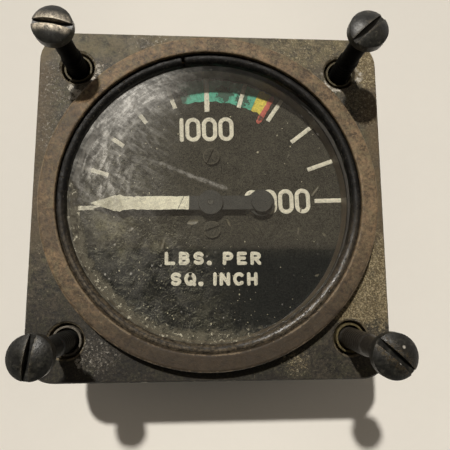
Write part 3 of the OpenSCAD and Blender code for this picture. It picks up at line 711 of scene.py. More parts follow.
def lacquer_material():
    """Old black lacquer on spring wire, dull and speckled, with brown grime along its lower half and two dark
    lines of painted shade round it.
    """
    c = gauge_colours()
    m, b, p = new_material("ring_lacquer")
    x, y, _ = b.parts(p)
    r = b.radius(x, y)
    cloud = b.noise(p, 1.1, 5.0, 0.8)
    grime = b.span(y, 3.0, -15.0) * b.span(cloud, 0.36, 0.6, 0.55, 1.0)
    # Painted shade: two dark lines along the wire stand in for the shaded gaps beside it.
    inner = b.span(abs(r - 24.5), 0.14, 0.04)
    outer = b.span(abs(r - 25.1), 0.16, 0.05)
    line = b.most(inner, outer) * b.span(cloud, 0.3, 0.6, 0.95, 0.5)
    speck = b.span(b.noise(p, 0.42, 4.0, 0.85), 0.55, 0.66) * 0.5
    shown = b.blend(grime * 0.85, c.lacquer,
                    b.blend(b.span(b.noise(p, 0.5, 4.0, 0.8), 0.4, 0.6), srgb(52, 46, 37), srgb(104, 92, 74)))
    shown = b.blend(line, shown, srgb(18, 16, 13))
    shown = b.blend(speck, shown, srgb(104, 95, 80))
    shiny = b.span(y, 0.0, -16.0) * b.span(x, 2.0, 12.0)
    b.dress(cloud + speck, 0.09, Base_Color=shown, Specular_IOR_Level=shiny * 0.4 + 0.22,
            Roughness=b.span(cloud, 0.35, 0.65, 0.42, 0.56) + shiny * -0.18)
    return m


def glass_material():
    """Clear glass that lets the lamp's shadow rays through."""
    m, b, _ = new_material("gauge_glass")
    b.dress(Base_Color=(0.96, 0.975, 0.965), Roughness=0.0, IOR=1.5, Transmission_Weight=1.0)
    clear = b.add("ShaderNodeBsdfTransparent", {"Color": (0.95, 0.96, 0.95)})
    shadow, diffuse, glossy, singular = b.add("ShaderNodeLightPath", out=(
        "Is Shadow Ray", "Is Diffuse Ray", "Is Glossy Ray", "Is Singular Ray"))
    direct = b.most(shadow, diffuse, glossy * (1.0 - singular))
    glass = Wire(b, b.node("BSDF_PRINCIPLED").outputs[0])
    b.plug(b.add("ShaderNodeMixShader", {0: direct, 1: glass, 2: clear}),
           b.node("OUTPUT_MATERIAL").inputs["Surface"])
    return m


# Scratches on the glass: their two ends, width in mm, and strength
SCRATCHES = (((-13.6, 7.7), (-8.6, 6.2), 0.4, 0.6), ((-8.6, 6.2), (-3.6, 4.1), 0.6, 0.85),
             ((-3.6, 4.1), (2.6, 1.9), 0.6, 1.0), ((-8.4, 8.4), (-6.3, 10.0), 0.16, 0.5),
             ((-6.1, 10.4), (-4.9, 12.8), 0.16, 0.4), ((-14.4, 14.0), (-11.2, 11.2), 0.3, 0.8),
             ((-19.5, 8.2), (-14.5, 5.4), 0.3, 0.5))


def film_material():
    """Grease, dust and scratches on the glass: wiped into streaks at the upper left, crusted below."""
    c = gauge_colours()
    m, b, p = new_material("glass_film")
    x, y, _ = b.parts(p)
    r = b.radius(x, y)
    turn = b.math("ARCTAN2", y, x) * 7.0
    wisps = b.span(b.noise(b.pair(r, turn), 1.0, 6.0, 0.68, 0.5), 0.42, 0.68)
    slant = math.radians(-38)
    along = x * (0.3 * math.cos(slant)) + y * (0.3 * math.sin(slant))
    over = y * math.cos(slant) - x * math.sin(slant)
    streaks = b.span(b.noise(b.pair(along, over), 1.0, 6.0, 0.74, 0.5), 0.42, 0.68)
    cloud = b.span(b.noise(p, 4.5, 6.0, 0.7, 0.8), 0.4, 0.62)
    fine = b.noise(p, 0.42, 5.0, 0.85)
    upper_left = spots(b, p, GLASS_TOP, (-15.0, 15.5, 14.0)) * b.span(r, 15.5, 21.5)
    left = b.span(x + y * -0.25, -4.0, -19.0)
    low_left = spots(b, p, GLASS_TOP, (-13.5, -12.0, 20.0))
    bottom = b.span(y, -15.0, -22.5) * b.span(x, 18.0, 4.0)
    haze = upper_left * (wisps * 0.3 + 0.08)
    across = left * b.span(y, -9.0, 2.0)
    haze = haze + across * (streaks * 0.17 + 0.045)
    haze = haze + low_left * cloud * 0.06
    brow = b.span(r, 18.0, 21.0) * b.span(y, 12.0, 18.0) * b.span(x, 14.0, -8.0, 0.25, 1.0)
    haze = haze + brow * (b.span(cloud, 0.0, 1.0, 0.4, 1.0) * 0.045)
    haze = haze + spots(b, p, GLASS_TOP, (-18.0, 4.0, 7.0)) * (wisps * 0.37)
    haze = (haze + 0.008) * b.span(fine, 0.38, 0.62, 0.7, 1.3)
    gritty = b.most(low_left * 0.8, bottom, left * 0.4)
    grit = (b.span(b.noise(p + (5.3, 9.1, 2.2), 0.5, 5.0, 0.85), 0.6, 0.67) *
            (gritty * b.span(cloud, 0.3, 0.8, 0.3, 1.0)))
    dots = b.use("Dust", "Mask", Place=p, Size=0.7, Amount=0.1) * (gritty * 0.6 + b.span(r, 14.0, 22.5) * 0.2)
    marks = b.most(0.0, *(strength * b.use("Scratch", "Mask", Place=p, From=(*start, GLASS_TOP),
                                           To=(*end, GLASS_TOP), Width=width)
                          for start, end, width, strength in SCRATCHES))
    pale = b.span(b.noise(p, 0.7, 4.0, 0.8), 0.57, 0.64) * 0.9
    crust_side = b.span(x * 0.6 + y * 0.8, -5.0, -18.0)
    crust = b.ragged(p, b.span(r, 20.8, 22.9) * crust_side * 0.95, 1.6, 0.95)
    crust = crust * (b.span(fine, 0.36, 0.6, 0.34, 0.5) + pale * 0.42)
    alpha = b.most(haze, grit * b.span(y, -16.0, -20.0, 0.36, 0.6), dots * 0.6, marks * 0.24, crust)
    shown = b.blend(b.span(crust, 0.02, 0.14), c.film,
                    b.blend(pale, times(c.crust, 1.4), srgb(206, 200, 178)))
    b.dress(Base_Color=shown, Alpha=alpha, Roughness=0.35, Specular_IOR_Level=0.3)
    return m


def dial_material(screws=False):
    """Matt black, faded brown above the lettering and dark below; lifting paint at the lower left has painted
    light and shade.

    The dial's screws have the same paint, rubbed at the rims of their heads.
    """
    c = gauge_colours()
    m, b, p = new_material("dial_screw_paint" if screws else "dial_black")
    x, y, _ = b.parts(p)
    low = b.span(y + b.noise(p, 5.0) * 1.0, -4.5, -10.0)
    pale = b.blend(low, times(c.dial, 1.5), srgb(30, 30, 27))
    dark = b.blend(low, times(c.dial, 0.3), srgb(11, 11, 10))
    base, grain, _ = mottled(b, p, 3.5, 0.42, dark, pale)
    side = b.span(x + y * 0.45, 0.0, -14.0)
    swirl = b.noise(p, 2.6, 6.0, 0.78, 1.6)
    ridge = b.span(abs(swirl - 0.5), 0.02, 0.004) * b.span(b.noise(p, 1.2), 0.42, 0.6)
    lifted = side * b.most(ridge * 0.75, b.span(swirl, 0.52, 0.68, 0.0, 0.6))
    sunk = side * b.span(swirl, 0.48, 0.4, 0.0, 0.7)
    lint = b.span(b.noise(p + (1.0, 6.0, 0.0), 0.4, 4.0, 0.8), 0.6, 0.7) * 0.3
    blot = b.noise(p + (4.0, 1.0, 8.0), 6.0, 6.0, 0.74, 0.6)
    smear = (spots(b, p, DIAL_TOP, (-16.4, -3.6, 6.5), (-18.5, -8.0, 5.0), (-10.5, -6.0, 4.0)) *
             b.span(blot, 0.44, 0.62, 0.1, 1.0))
    shown = b.blend(side * b.span(blot, 0.5, 0.58, 0.0, 0.75), base, srgb(84, 80, 65))
    shown = b.blend(b.most(sunk, side * b.span(blot, 0.47, 0.4, 0.0, 0.7)), shown, srgb(12, 12, 12))
    curds = b.noise(p + (3.0, 3.0, 6.0), 1.2, 5.0, 0.82, 0.4)
    shown = b.blend(side * b.span(curds, 0.56, 0.63, 0.0, 0.7), shown, srgb(118, 114, 98))
    shown = b.blend(side * b.span(curds, 0.46, 0.4, 0.0, 0.75), shown, srgb(8, 8, 8))
    shown = b.blend(b.most(lifted, lint), shown, c.dial_dust)
    # Painted light and shade: lifted edges facing the lamp are painted pale, and those turned away from it
    # near black.
    painted_relief_light = curds - b.noise(p + (2.92, 3.2, 6.0), 1.2, 5.0, 0.82, 0.4)
    scaly = side * b.span(b.noise(p + (2.0, 7.0, 1.0), 2.6, 4.0, 0.7), 0.42, 0.58, 0.2, 1.0)
    shown = b.blend(scaly * b.span(painted_relief_light, 0.02, 0.1, 0.0, 0.85), shown, srgb(146, 142, 126))
    shown = b.blend(scaly * b.span(painted_relief_light, -0.005, -0.07, 0.0, 0.95), shown, srgb(6, 6, 6))
    shown = b.blend(smear * b.span(curds, 0.42, 0.56, 0.35, 0.95), shown, srgb(158, 150, 124))
    speckle = b.noise(p + (9.0, 2.0, 4.0), 0.26, 2.0, 0.6)
    shown = b.blend(b.span(speckle, 0.4, 0.62, 0.0, 0.3), shown,
                    b.blend(low, srgb(96, 90, 76), srgb(50, 50, 46)))
    shown = b.blend(b.span(speckle, 0.48, 0.36, 0.0, 0.3), shown, srgb(16, 15, 13))
    steps = b.span(swirl, 0.44, 0.455) + (b.span(swirl, 0.52, 0.535) + b.span(swirl, 0.6, 0.615))
    scales = ((swirl + curds) * 3.0 + steps) * side
    if screws:
        off = b.least(*(b.gap(p, (x0, y0, DIAL_TOP + 0.6)) for x0, y0 in DIAL_SCREWS))
        shown = b.blend(b.span(off, 1.2, 1.5, 0.0, 0.4), shown, c.dial_dust)
        scales = 0.0
    b.dress(grain + scales, 0.1, Base_Color=shown, Roughness=0.75, Specular_IOR_Level=0.12)
    return m


def ink_material(name, main, dirty=0.35, crack=0.9, tip=False):
    """Old matt paint: dirty in patches and finely cracked, on the pointer also grubby at the tip."""
    m, b, p = new_material(name)
    base, grain, _ = mottled(b, p, 1.6, 0.3, times(main, 0.68), main, tint=times(main, 1.08), flecks=-0.03,
                             fleck=times(main, dirty))
    gaps = b.span(b.cells(p + (3.1, 4.7, 0.0), crack, "DISTANCE_TO_EDGE"), 0.012, 0.035, 1.0, 0.0)
    cracks = gaps * b.span(b.noise(p, 1.3), 0.5, 0.62)
    shown = b.blend(cracks * 0.7, base, times(main, 0.25))
    if tip:
        cloud = b.span(b.noise(p, 1.6, 5.0, 0.75), 0.4, 0.6)
        grubby = spots(b, p, DIAL_TOP + 1.7, (-18.5, -0.2, 4.5)) * cloud
        shown = b.blend(grubby * 0.5, shown, srgb(120, 112, 88))
    b.dress(grain - cracks, 0.03, Base_Color=shown, Roughness=0.7, Specular_IOR_Level=0.2)
    return m


def range_material(name, main):
    """A thin painted range mark, cracked and lifted near its middle so that the dial shows through."""
    c = gauge_colours()
    m, b, p = new_material(name)
    base, grain, _ = mottled(b, p, 1.8, 0.35, times(main, 0.78), times(main, 1.28), flecks=-0.03, fleck=c.ink)
    lost_at = spots(b, p, DIAL_TOP, (2.6, 21.4, 2.6), (6.2, 20.2, 2.4), (-5.6, 20.4, 2.6), (9.3, 16.6, 1.1))
    lost = b.ragged(p, lost_at * 0.72, 1.2, 0.56)
    thin = b.span(b.noise(p, 0.8, 5.0, 0.8), 0.46, 0.6) * 0.3
    shown = b.blend(b.most(lost * 0.85, thin), base, times(c.dial, 0.8))
    b.dress(grain - lost, 0.04, Base_Color=shown, Roughness=0.6, Specular_IOR_Level=0.25)
    return m


def metal_material(name, main, dull=0.4, rough=0.35, pitch=0.25, dirt=0.3, metallic=1.0):
    """Turned or milled metal with fine rings, tarnished and dirty in patches."""
    m, b, p = new_material(name)
    rings = b.use("Lathe", "Height", Place=p, Pitch=pitch)
    stain = b.ragged(p, dirt, 1.8, 0.8)
    clean = b.blend(b.span(rings, 0.3, 0.7), times(main, 0.82), main)
    shown = b.blend(stain, clean, times(main, dull))
    b.dress(rings, 0.02, Base_Color=shown, Metallic=metallic,
            Roughness=b.span(rings, 0.3, 0.7, rough - 0.06, rough + 0.08) + stain * 0.25)
    return m


def nut_material():
    """Dull brass: olive and clogged with dirt, greyer and rubbed on the nut at the lower left."""
    m, b, p = new_material("nut_metal")
    x, y, _ = b.parts(p)
    grey = b.span(x, 5.0, -5.0) * b.span(y, 5.0, -5.0)
    main = b.blend(grey, b.blend(b.span(y, -5.0, 5.0), srgb(104, 93, 62), srgb(84, 76, 54)),
                   srgb(118, 111, 100))
    fine = b.noise(p, 0.5, 5.0, 0.8)
    shown = b.blend(b.span(fine, 0.4, 0.62), b.blend(0.6, main, srgb(34, 30, 22)), main)
    b.dress(fine, 0.08, Base_Color=shown, Metallic=0.15, Roughness=0.55, Specular_IOR_Level=0.3)
    return m


def plain_material(name, main, rough=0.6, grain=0.3, depth=0.02, patch=2.5, dark=0.6, pale=1.1, fleck=None,
                   **sockets):
    """A painted or moulded surface with a fine grain and a little dust. dark and pale are factors on main."""
    m, b, p = new_material(name)
    base, height, _ = mottled(b, p, patch, grain, times(main, dark), times(main, pale), flecks=0.0,
                              fleck=fleck or times(main, 2.2))
    b.dress(height, depth, Base_Color=base, Roughness=rough, **sockets)
    return m


# Colours of the screws' shanks, picked on a screen. The top two are near black partly as painted shade, for
# the heads' shadows that fall on them.
SHANK_SHADE = {"top_left": (7, 7, 6), "top_right": (7, 7, 6), "bottom_left": (20, 20, 18),
               "bottom_right": (46, 42, 37)}


def screw_material(where):
    """Black oxide, with steel showing softly on the top left crown and beside the slots of the others."""
    c = gauge_colours()
    m, b, p = new_material("screw_" + where + "_finish")
    sx, sy = (v * SCREW_XY for v in CORNER[where])
    top = HEAD_UNDER[where] + HEAD_HIGH
    x, y, z = b.parts(p - (sx, sy, top))
    a = math.radians(SLOT_DIR[where])
    off = y * math.cos(a) - x * math.sin(a)
    across = abs(off)
    r = b.radius(x, y)
    fine = b.noise(p, 0.5, 5.0, 0.8)
    if where == "top_left":
        below = b.span(off, -1.7, -0.35) * b.span(off, 0.0, -0.3)
        above = b.span(off, 2.0, 0.5) * b.span(off, 0.0, 0.3, 0.0, 0.62)
        mask = b.most(below, above) * b.span(r, 3.0, 2.5, 0.4, 1.0)
        shine, bare = 0.3, srgb(236, 222, 198)
    elif where == "bottom_right":
        mask = b.span(across, 1.6, 0.6) * b.span(fine, 0.45, 0.6, 0.1, 0.85)
        shine, bare = 0.2, srgb(74, 62, 40)
    else:
        mask = b.span(across, 0.9, 0.4) * b.span(fine, 0.4, 0.62, 0.1, 0.6)
        shine, bare = 0.2, srgb(104, 96, 80)
    mask = mask * b.span(z, -1.0, -0.6)
    rub = mask * b.span(fine, 0.34, 0.6, 0.35, 1.0)
    low = where.startswith("bottom")
    black = times(c.oxide, 0.72 if low else 1.0)
    base, grain, _ = mottled(b, p, 1.8, 0.4, times(black, 0.5), times(black, 1.5), tint=srgb(48, 47, 40),
                             flecks=0.0, fleck=srgb(90, 84, 74))
    scuff = b.span(b.noise(p + (5.0, 2.0, 1.0), 1.1, 5.0, 0.8), 0.54, 0.64) * (0.3 if low else 0.55)
    base = b.blend(scuff, base, srgb(92, 88, 78))
    steel = b.blend(b.span(fine, 0.36, 0.64), times(bare, 0.45), bare)
    shank = b.span(z, -2.1, -2.4)
    shade = srgb(*SHANK_SHADE[where])
    sheen = 0.45 if low else 0.06
    skin = b.blend(shank, base, b.blend(b.span(fine, 0.36, 0.64), times(shade, 0.5), times(shade, 1.3)))
    skin = b.blend(rub, skin, steel)
    if where == "bottom_right":
        # Painted highlights: two small pale glints on the bottom right head.
        painted_glints = b.least(b.gap(p, (24.3, -22.25, top - 0.3)), b.gap(p, (23.75, -24.15, top - 0.1)))
        skin = b.blend(b.span(painted_glints, 0.28, 0.12), skin, srgb(176, 170, 160))
    b.dress(grain + rub * fine, 0.04, Base_Color=skin, Specular_IOR_Level=b.span(shank, 0.0, 1.0, 0.5, sheen),
            Metallic=rub * shine + b.span(shank, 0.0, 1.0, 0.15, 0.0),
            Roughness=b.span(grain, 0.3, 0.7, 0.34, 0.48) + scuff * 0.2 +
                      (rub * 0.12 + shank * (0.2 if sheen < 0.1 else 0.0)))
    return m


def table_material():
    """Pale table, kept pale past the lamp's reach by a glow of its own that starts well outside the gauge."""
    c = gauge_colours()
    m, b, p = new_material("table_top")
    base, _, _ = mottled(b, p, 70.0, 3.0, times(c.table, 0.985), c.table)
    reach = b.gap(p, LAMP_AT) / math.dist(LAMP_AT, (0, 0, STAND_Z))
    level = reach ** 3.0
    near_share = b.least(level, 1.18)
    x, _, _ = b.parts(p)
    # Painted light: the table is made a little lighter in a band down its middle.
    middle = b.span(abs(x), 46.0, 8.0, 0.985, 1.055)
    lit = b.scaled(base, near_share * middle)
    gone = 1.0 - near_share / level
    b.dress(Base_Color=lit, Roughness=0.8, Specular_IOR_Level=0.2, Emission_Color=c.table,
            Emission_Strength=gone * 0.95)
    return m


# Pieces

def bow(top, cx, cy, rx, ry, bottom, count):
    """The round part of a letter: out from the stem at top, round, and back to the stem at bottom."""
    return np.vstack([[(0, top)], arc(cx, cy, rx, ry, 90, -90, count), [(0, bottom)]])


# A letter's upright, and each letter's width for a height of 1 and its strokes
STEM = [(0, 0), (0, 1)]
GLYPHS = {
    "L": (0.55, [STEM[::-1], [(0, 0), (0.55, 0)]]),
    "B": (0.58, [STEM, bow(1, 0.3, 0.765, 0.24, 0.235, 0.53, 9), bow(0.53, 0.32, 0.265, 0.26, 0.265, 0, 9)]),
    "S": (0.56, [np.vstack([arc(0.28, 0.75, 0.28, 0.25, 25, 270, 14),
                            arc(0.28, 0.25, 0.28, 0.25, 90, -155, 14)])]),
    "P": (0.56, [STEM, bow(1, 0.28, 0.73, 0.28, 0.27, 0.46, 10)]),
    "R": (0.58, [STEM, bow(1, 0.28, 0.74, 0.28, 0.26, 0.48, 10), [(0.26, 0.48), (0.58, 0)]]),
    "E": (0.52, [STEM, [(0, 1), (0.52, 1)], [(0, 0.52), (0.44, 0.52)], [(0, 0), (0.52, 0)]]),
    "Q": (0.66, [arc(0.33, 0.5, 0.33, 0.5, 90, 450, 34), [(0.4, 0.24), (0.66, -0.04)]]),
    "I": (0.0, [STEM]),
    "N": (0.56, [STEM, [(0, 1), (0.56, 0)], [(0.56, 0), (0.56, 1)]]),
    "C": (0.6, [arc(0.33, 0.5, 0.33, 0.5, 48, 312, 22)]),
    "H": (0.56, [STEM, [(0.56, 0), (0.56, 1)], [(0, 0.5), (0.56, 0.5)]]),
    ".": (0.0, [[(-0.015, 0.03), (0.015, 0.03)]]),
    " ": (0.1, []),
}
# Generic wording, the unit that such a dial counts in
UNIT_LINES = (("LBS. PER", 0.5, -9.9, 17.4), ("SQ. INCH", 0.7, -13.6, 15.6))
LETTER_STRETCH = 1.3
# How many degrees the print stands askew
DIAL_ROLL = 2.05


def rolled(path):
    """A path on the dial, standing askew like the rest of its print."""
    return turned(*np.asarray(path, float).T, DIAL_ROLL)


def print_line(text, centre_x, centre_y, width, low, high):
    """A line of capitals as painted strokes, spread evenly over its width."""
    sizes = gauge_sizes()
    cap, pen = in_mm(sizes.letter_height), in_mm(sizes.letter_stroke)
    tall = cap - pen
    wide = tall * LETTER_STRETCH
    widths = [GLYPHS[letter][0] * wide for letter in text]
    gap = (width - pen - sum(widths)) / (len(text) - 1)
    starts = centre_x - (width - pen) / 2 + np.concatenate([[0], np.cumsum([w + gap for w in widths[:-1]])])
    made = []
    for k, (letter, x) in enumerate(zip(text, starts)):
        for n, path in enumerate(GLYPHS[letter][1]):
            where = np.asarray(path, float) * [wide, tall] + [x, centre_y - tall / 2]
            pen_here = pen * 1.35 if letter == "." else pen
            made.append(stroke(where, pen_here, low, high + 0.006 * n, seed=97 * k + n))
    return made


def print_number(digits, centres, centre_y, height, width, pen, low, high):
    """Numerals as painted strokes: a one is a bar, a nought two half circles joined by straights."""
    half, tall = (width - pen) / 2, height - pen
    nought = np.vstack([arc(0, tall / 2 - half, half, half, 0, 180, 14),
                        arc(0, half - tall / 2, half, half, 180, 360, 14)])
    nought = np.vstack([nought, nought[:1]])
    two = np.vstack([arc(0, tall / 2 - half, half, half, 165, -35, 14), [(-half, -tall / 2)],
                     [(half, -tall / 2)]])
    forms = {"0": (nought, True), "1": (np.array([(0, -tall / 2), (0, tall / 2)]), False), "2": (two, False)}
    return [stroke(rolled(forms[d][0] + [x, centre_y]), pen, low, high, closed=forms[d][1], seed=300 + 7 * k)
            for k, (d, x) in enumerate(zip(digits, centres))]


def sector_patch(r0, r1, a0, a1, low, high, seed):
    """A painted piece of a ring: rows by angle, and a section that goes up, over and down."""
    angles = np.linspace(a0, a1, max(8, int(abs(a1 - a0) * 3)))
    t = np.radians(angles)
    way = np.stack([np.cos(t), np.sin(t)], -1)
    inner = r0 + 0.12 * ripple(way * r0, 1.6, seed)
    outer = r1 + 0.12 * ripple(way * r1, 1.6, seed + 1)
    mids = [inner + (outer - inner) * s for s in (0.03, 0.35, 0.65, 0.97)]
    rows = [(inner, low)] + [(m, high) for m in mids] + [(outer, low)]
    return shell(np.stack([np.column_stack([way * r[:, None], np.full(len(way), z)]) for r, z in rows], 1))


class GAUGE_OT_stage(Operator):
    """Camera, lamps, room and table."""
    bl_idname = "gauge.stage"
    bl_label = "Stage"

    def execute(self, context):
        scene = context.scene
        mesh = bpy.data.meshes.new("table")
        corners = [(-TABLE_HALF, -TABLE_HALF), (TABLE_HALF, -TABLE_HALF), (TABLE_HALF, TABLE_HALF),
                   (-TABLE_HALF, TABLE_HALF)]
        mesh.from_pydata([(x, y, STAND_Z * MM) for x, y in corners], [], [(0, 1, 2, 3)])
        mesh.materials.append(table_material())
        table = bpy.data.objects.new("table", mesh)
        scene.collection.objects.link(table)

        view = bpy.data.cameras.new("camera")
        view.sensor_fit = "HORIZONTAL"
        view.sensor_width = SENSOR_WIDTH
        view.lens = FOCAL_PIXELS / PHOTO_PIXELS * SENSOR_WIDTH
        view.clip_start = 0.002
        camera = bpy.data.objects.new("camera", view)
        camera.matrix_world = Matrix.Translation(Vector(CAMERA_AT) * MM) @ Matrix(CAMERA_AXES).to_4x4()
        scene.collection.objects.link(camera)
        scene.camera = camera

        for name, spot, size, hidden_from in LAMPS:
            lamp = bpy.data.lights.new(name, "AREA")
            lamp.shape = "DISK"
            lamp.size = size * MM
            lamp.energy = LAMP_WATTS
            lamp.color = LAMP_COLOUR
            lamp_object = bpy.data.objects.new(name, lamp)
            spot = Vector(spot) * MM
            facing = spot.to_track_quat("Z", "Y").to_matrix().to_4x4()
            lamp_object.matrix_world = Matrix.Translation(spot) @ facing
            setattr(lamp_object, hidden_from, False)
            scene.collection.objects.link(lamp_object)

        world = bpy.data.worlds.new("room")
        world.use_nodes = True
        scene.world = world
        b = Bench(world.node_tree)
        _, y, height = b.parts(b.add("ShaderNodeTexCoord", out="Generated"))
        beside = b.span(y - height * 0.072, -0.006, 0.006)
        away = b.span(y / b.most(height, 0.05), 0.7, 1.2)
        above = b.blend(beside, ROOM_DARK, b.blend(away, ROOM_WARM, ROOM_GREY))
        low = b.blend(b.span(y, -0.3, 0.3), ROOM_SHADE, ROOM_LIGHT)
        sky = b.blend(b.span(height, 0.2, 0.45), low, above)
        sky = b.blend(b.add("ShaderNodeLightPath", out="Is Camera Ray"), sky, BACKDROP)
        b.plug(sky, b.node("BACKGROUND").inputs["Color"])
        scene.view_settings.view_transform = "Standard"
        return {"FINISHED"}


class GAUGE_OT_case(Operator):
    """Case with its flange, and the captive nuts."""
    bl_idname = "gauge.case"
    bl_label = "Case"

    def execute(self, context):
        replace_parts(worn_copy("case_body", case_material()), "case_body")
        nuts = worn_copy("captive_nuts", nut_material(), width=0.06 * MM)
        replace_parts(nuts, "captive_nuts")
        return {"FINISHED"}


class GAUGE_OT_bezel(Operator):
    """Bezel ring and the snap ring in its groove."""
    bl_idname = "gauge.bezel"
    bl_label = "Bezel"

    def execute(self, context):
        lip = arc(25.65, 2.72, 0.28, 0.28, 180, 90, 6)
        face = np.stack([np.linspace(25.85, 27.55, 9), np.full(9, 3.0)], -1)
        brow = arc(27.68, 2.48, 0.52, 0.52, 90, 0, 8)
        profile = np.vstack([[(25.35, -0.8), (27.85, -0.8), (27.85, 0.0), (28.2, 0.0), (28.2, 1.2)],
                             brow[::-1], face[::-1], lip[::-1],
                             [(25.35, 2.62), (25.37, 2.3), (25.9, 2.3), (25.9, 0.15), (25.35, 0.15)]])
        t = np.radians(np.arange(0, 360, 0.75))[:, None]
        r, z = profile[:, 0] + 0 * t, profile[:, 1] + 0 * t
        places = polar(r, t, z)
        front = np.clip((z - 2.0) / 0.9, 0, 1)
        edge = np.clip(1 - np.minimum(abs(r - 28.05), abs(r - 25.45)) / 0.35, 0, 1) * front
        dent = (0.02 * (1 + ripple(places, 3.5, 11)) * front +
                0.05 * edge * np.clip(ripple(places, 2.2, 12) - 0.45, 0, 1))
        grid = polar(r, t, z - dent)
        ring = piece("bezel_ring_worn", shell(grid, True), bezel_material(), "case", sharp=38,
                     tags={"worn": (edge * (0.75 + 0.25 * ripple(places, 9, 13))).ravel()})
        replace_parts(ring, "bezel_ring")

        section = np.vstack([[(24.35, 0.2), (24.12, 0.32)], arc(24.82, 1.38, 0.82, 0.82, 215, 92, 12),
                             arc(24.98, 1.38, 0.82, 0.82, 88, -35, 12), [(25.68, 0.32), (25.45, 0.2)]])
        gap, start = 0.55, 101.3
        run = np.linspace(start + gap, start + 360 - gap, 460)
        run = np.concatenate([run[:1], run[:1] + 0.25, run[1:-1], run[-1:] - 0.25, run[-1:]])
        shrink = np.ones(len(run))
        shrink[[0, -1]] = 0.8
        t = np.radians(run)[:, None]
        middle = np.array([24.9, 1.2])
        body = middle + (section - middle) * shrink[:, None, None]
        r, z = body[..., 0], body[..., 1]
        places = polar(r, t, z)
        lumps = 1 - 0.03 * (1 + ripple(places, 4.0, 21)) - 0.01 * (1 + ripple(places, 1.2, 22))
        wire = shell(polar(middle[0] + (r - middle[0]) * lumps, t, middle[1] + (z - middle[1]) * lumps))
        wire = piece("snap_ring_wire", wire, lacquer_material(), "case", sharp=50)
        # Real glass moves the wire's shadow out, into the bezel's. Shadow rays pass this glass unbent.
        wire.visible_shadow = False
        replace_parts(wire, "snap_ring")
        return {"FINISHED"}


class GAUGE_OT_glass(Operator):
    """Glass, the film on it, its gasket and the spacer under it."""
    bl_idname = "gauge.glass"
    bl_label = "Glass"

    def execute(self, context):
        glass = frame["nodes"]["glass"].data.materials
        glass.clear()
        glass.append(glass_material())
        give("glass_gasket", plain_material("gasket_rubber", srgb(58, 52, 46), rough=0.7))
        give("dial_spacer", plain_material("spacer_paint", srgb(112, 98, 80), rough=0.5))
        t = np.radians(np.arange(0, 360, 3.0))[None, :]
        top = GLASS_TOP + 0.02
        grid = polar(np.linspace(0.8, FILM_R, 30)[:, None], t, top)
        rows, cols = grid.shape[:2]
        here = np.arange(cols)
        tris = np.stack([np.full(cols, rows * cols), here, (here + 1) % cols], -1)
        sheet = (np.vstack([grid.reshape(-1, 3), [[0, 0, top]]]), grid_faces(rows, cols, False, True), tris)
        piece("glass_film", sheet, film_material(), "case")
        return {"FINISHED"}


def give(node, material):
    """Puts one material in every slot of a CAD node."""
    mesh = frame["nodes"][node].data
    if not mesh.materials:
        mesh.materials.append(material)
    for k in range(len(mesh.materials)):
        mesh.materials[k] = material


class GAUGE_OT_dial(Operator):
    """Dial, its screws, its print and its range marks."""
    bl_idname = "gauge.dial"
    bl_label = "Dial"

    def execute(self, context):
        sizes, c = gauge_sizes(), gauge_colours()
        give("dial", dial_material())
        screws = worn_copy("dial_screws", dial_material(screws=True), width=0.05 * MM)
        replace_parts(screws, "dial_screws")
        low, high = DIAL_TOP + 0.005, DIAL_TOP + in_mm(sizes.print_thickness)
        parts = []
        for step in range(11):
            main = step == 5
            pen = in_mm(sizes.main_tick_width if main else sizes.tick_width)
            line = spoke(MAIN_TICK_IN if main else TICK_IN, TICK_OUT, 180 - 18 * step + DIAL_ROLL)
            parts.append(stroke(line, pen, low, high, round_ends=False, seed=step, uneven=0.05))
        height, pen = in_mm(sizes.numeral_height), in_mm(sizes.numeral_stroke)
        parts += print_number("1000", (-4.9, -2.78, 0.32, 3.42), 14.25, height, 2.86, pen, low, high)
        parts += print_number("2000", (7.7, 10.87, 13.97, 17.07), 0.1, height, 2.86, pen, low, high)
        parts += print_number("0", (-14.6,), 0.3, 2.5, 1.9, 0.5, low, high)
        for text, x, y, width in UNIT_LINES:
            parts += print_line(text, x, y, width, low, high)
        piece("dial_print", parts, ink_material("print_cream", c.ink), "case")
        low, high = DIAL_TOP + 0.003, DIAL_TOP + 0.02
        for name, start, end, seed in (("green", 67.1, 105.4, 41), ("yellow", 60.4, 67.0, 45)):
            mark = sector_patch(MARK_IN, MARK_OUT, start, end, low, high, seed)
            paint = range_material(name + "_mark", getattr(c, name))
            piece("mark_" + name, mark, paint, "case")
        line = stroke(spoke(18.4, 23.6, 60.3), 0.95, low, high + 0.008, seed=47, uneven=0.12)
        piece("mark_red", line, range_material("red_mark", c.red), "case")
        return {"FINISHED"}


# The pointer's direction in degrees, and the height of its paint in mm
POINTER_DIR = 180.6
PAINT_Z = -3.86


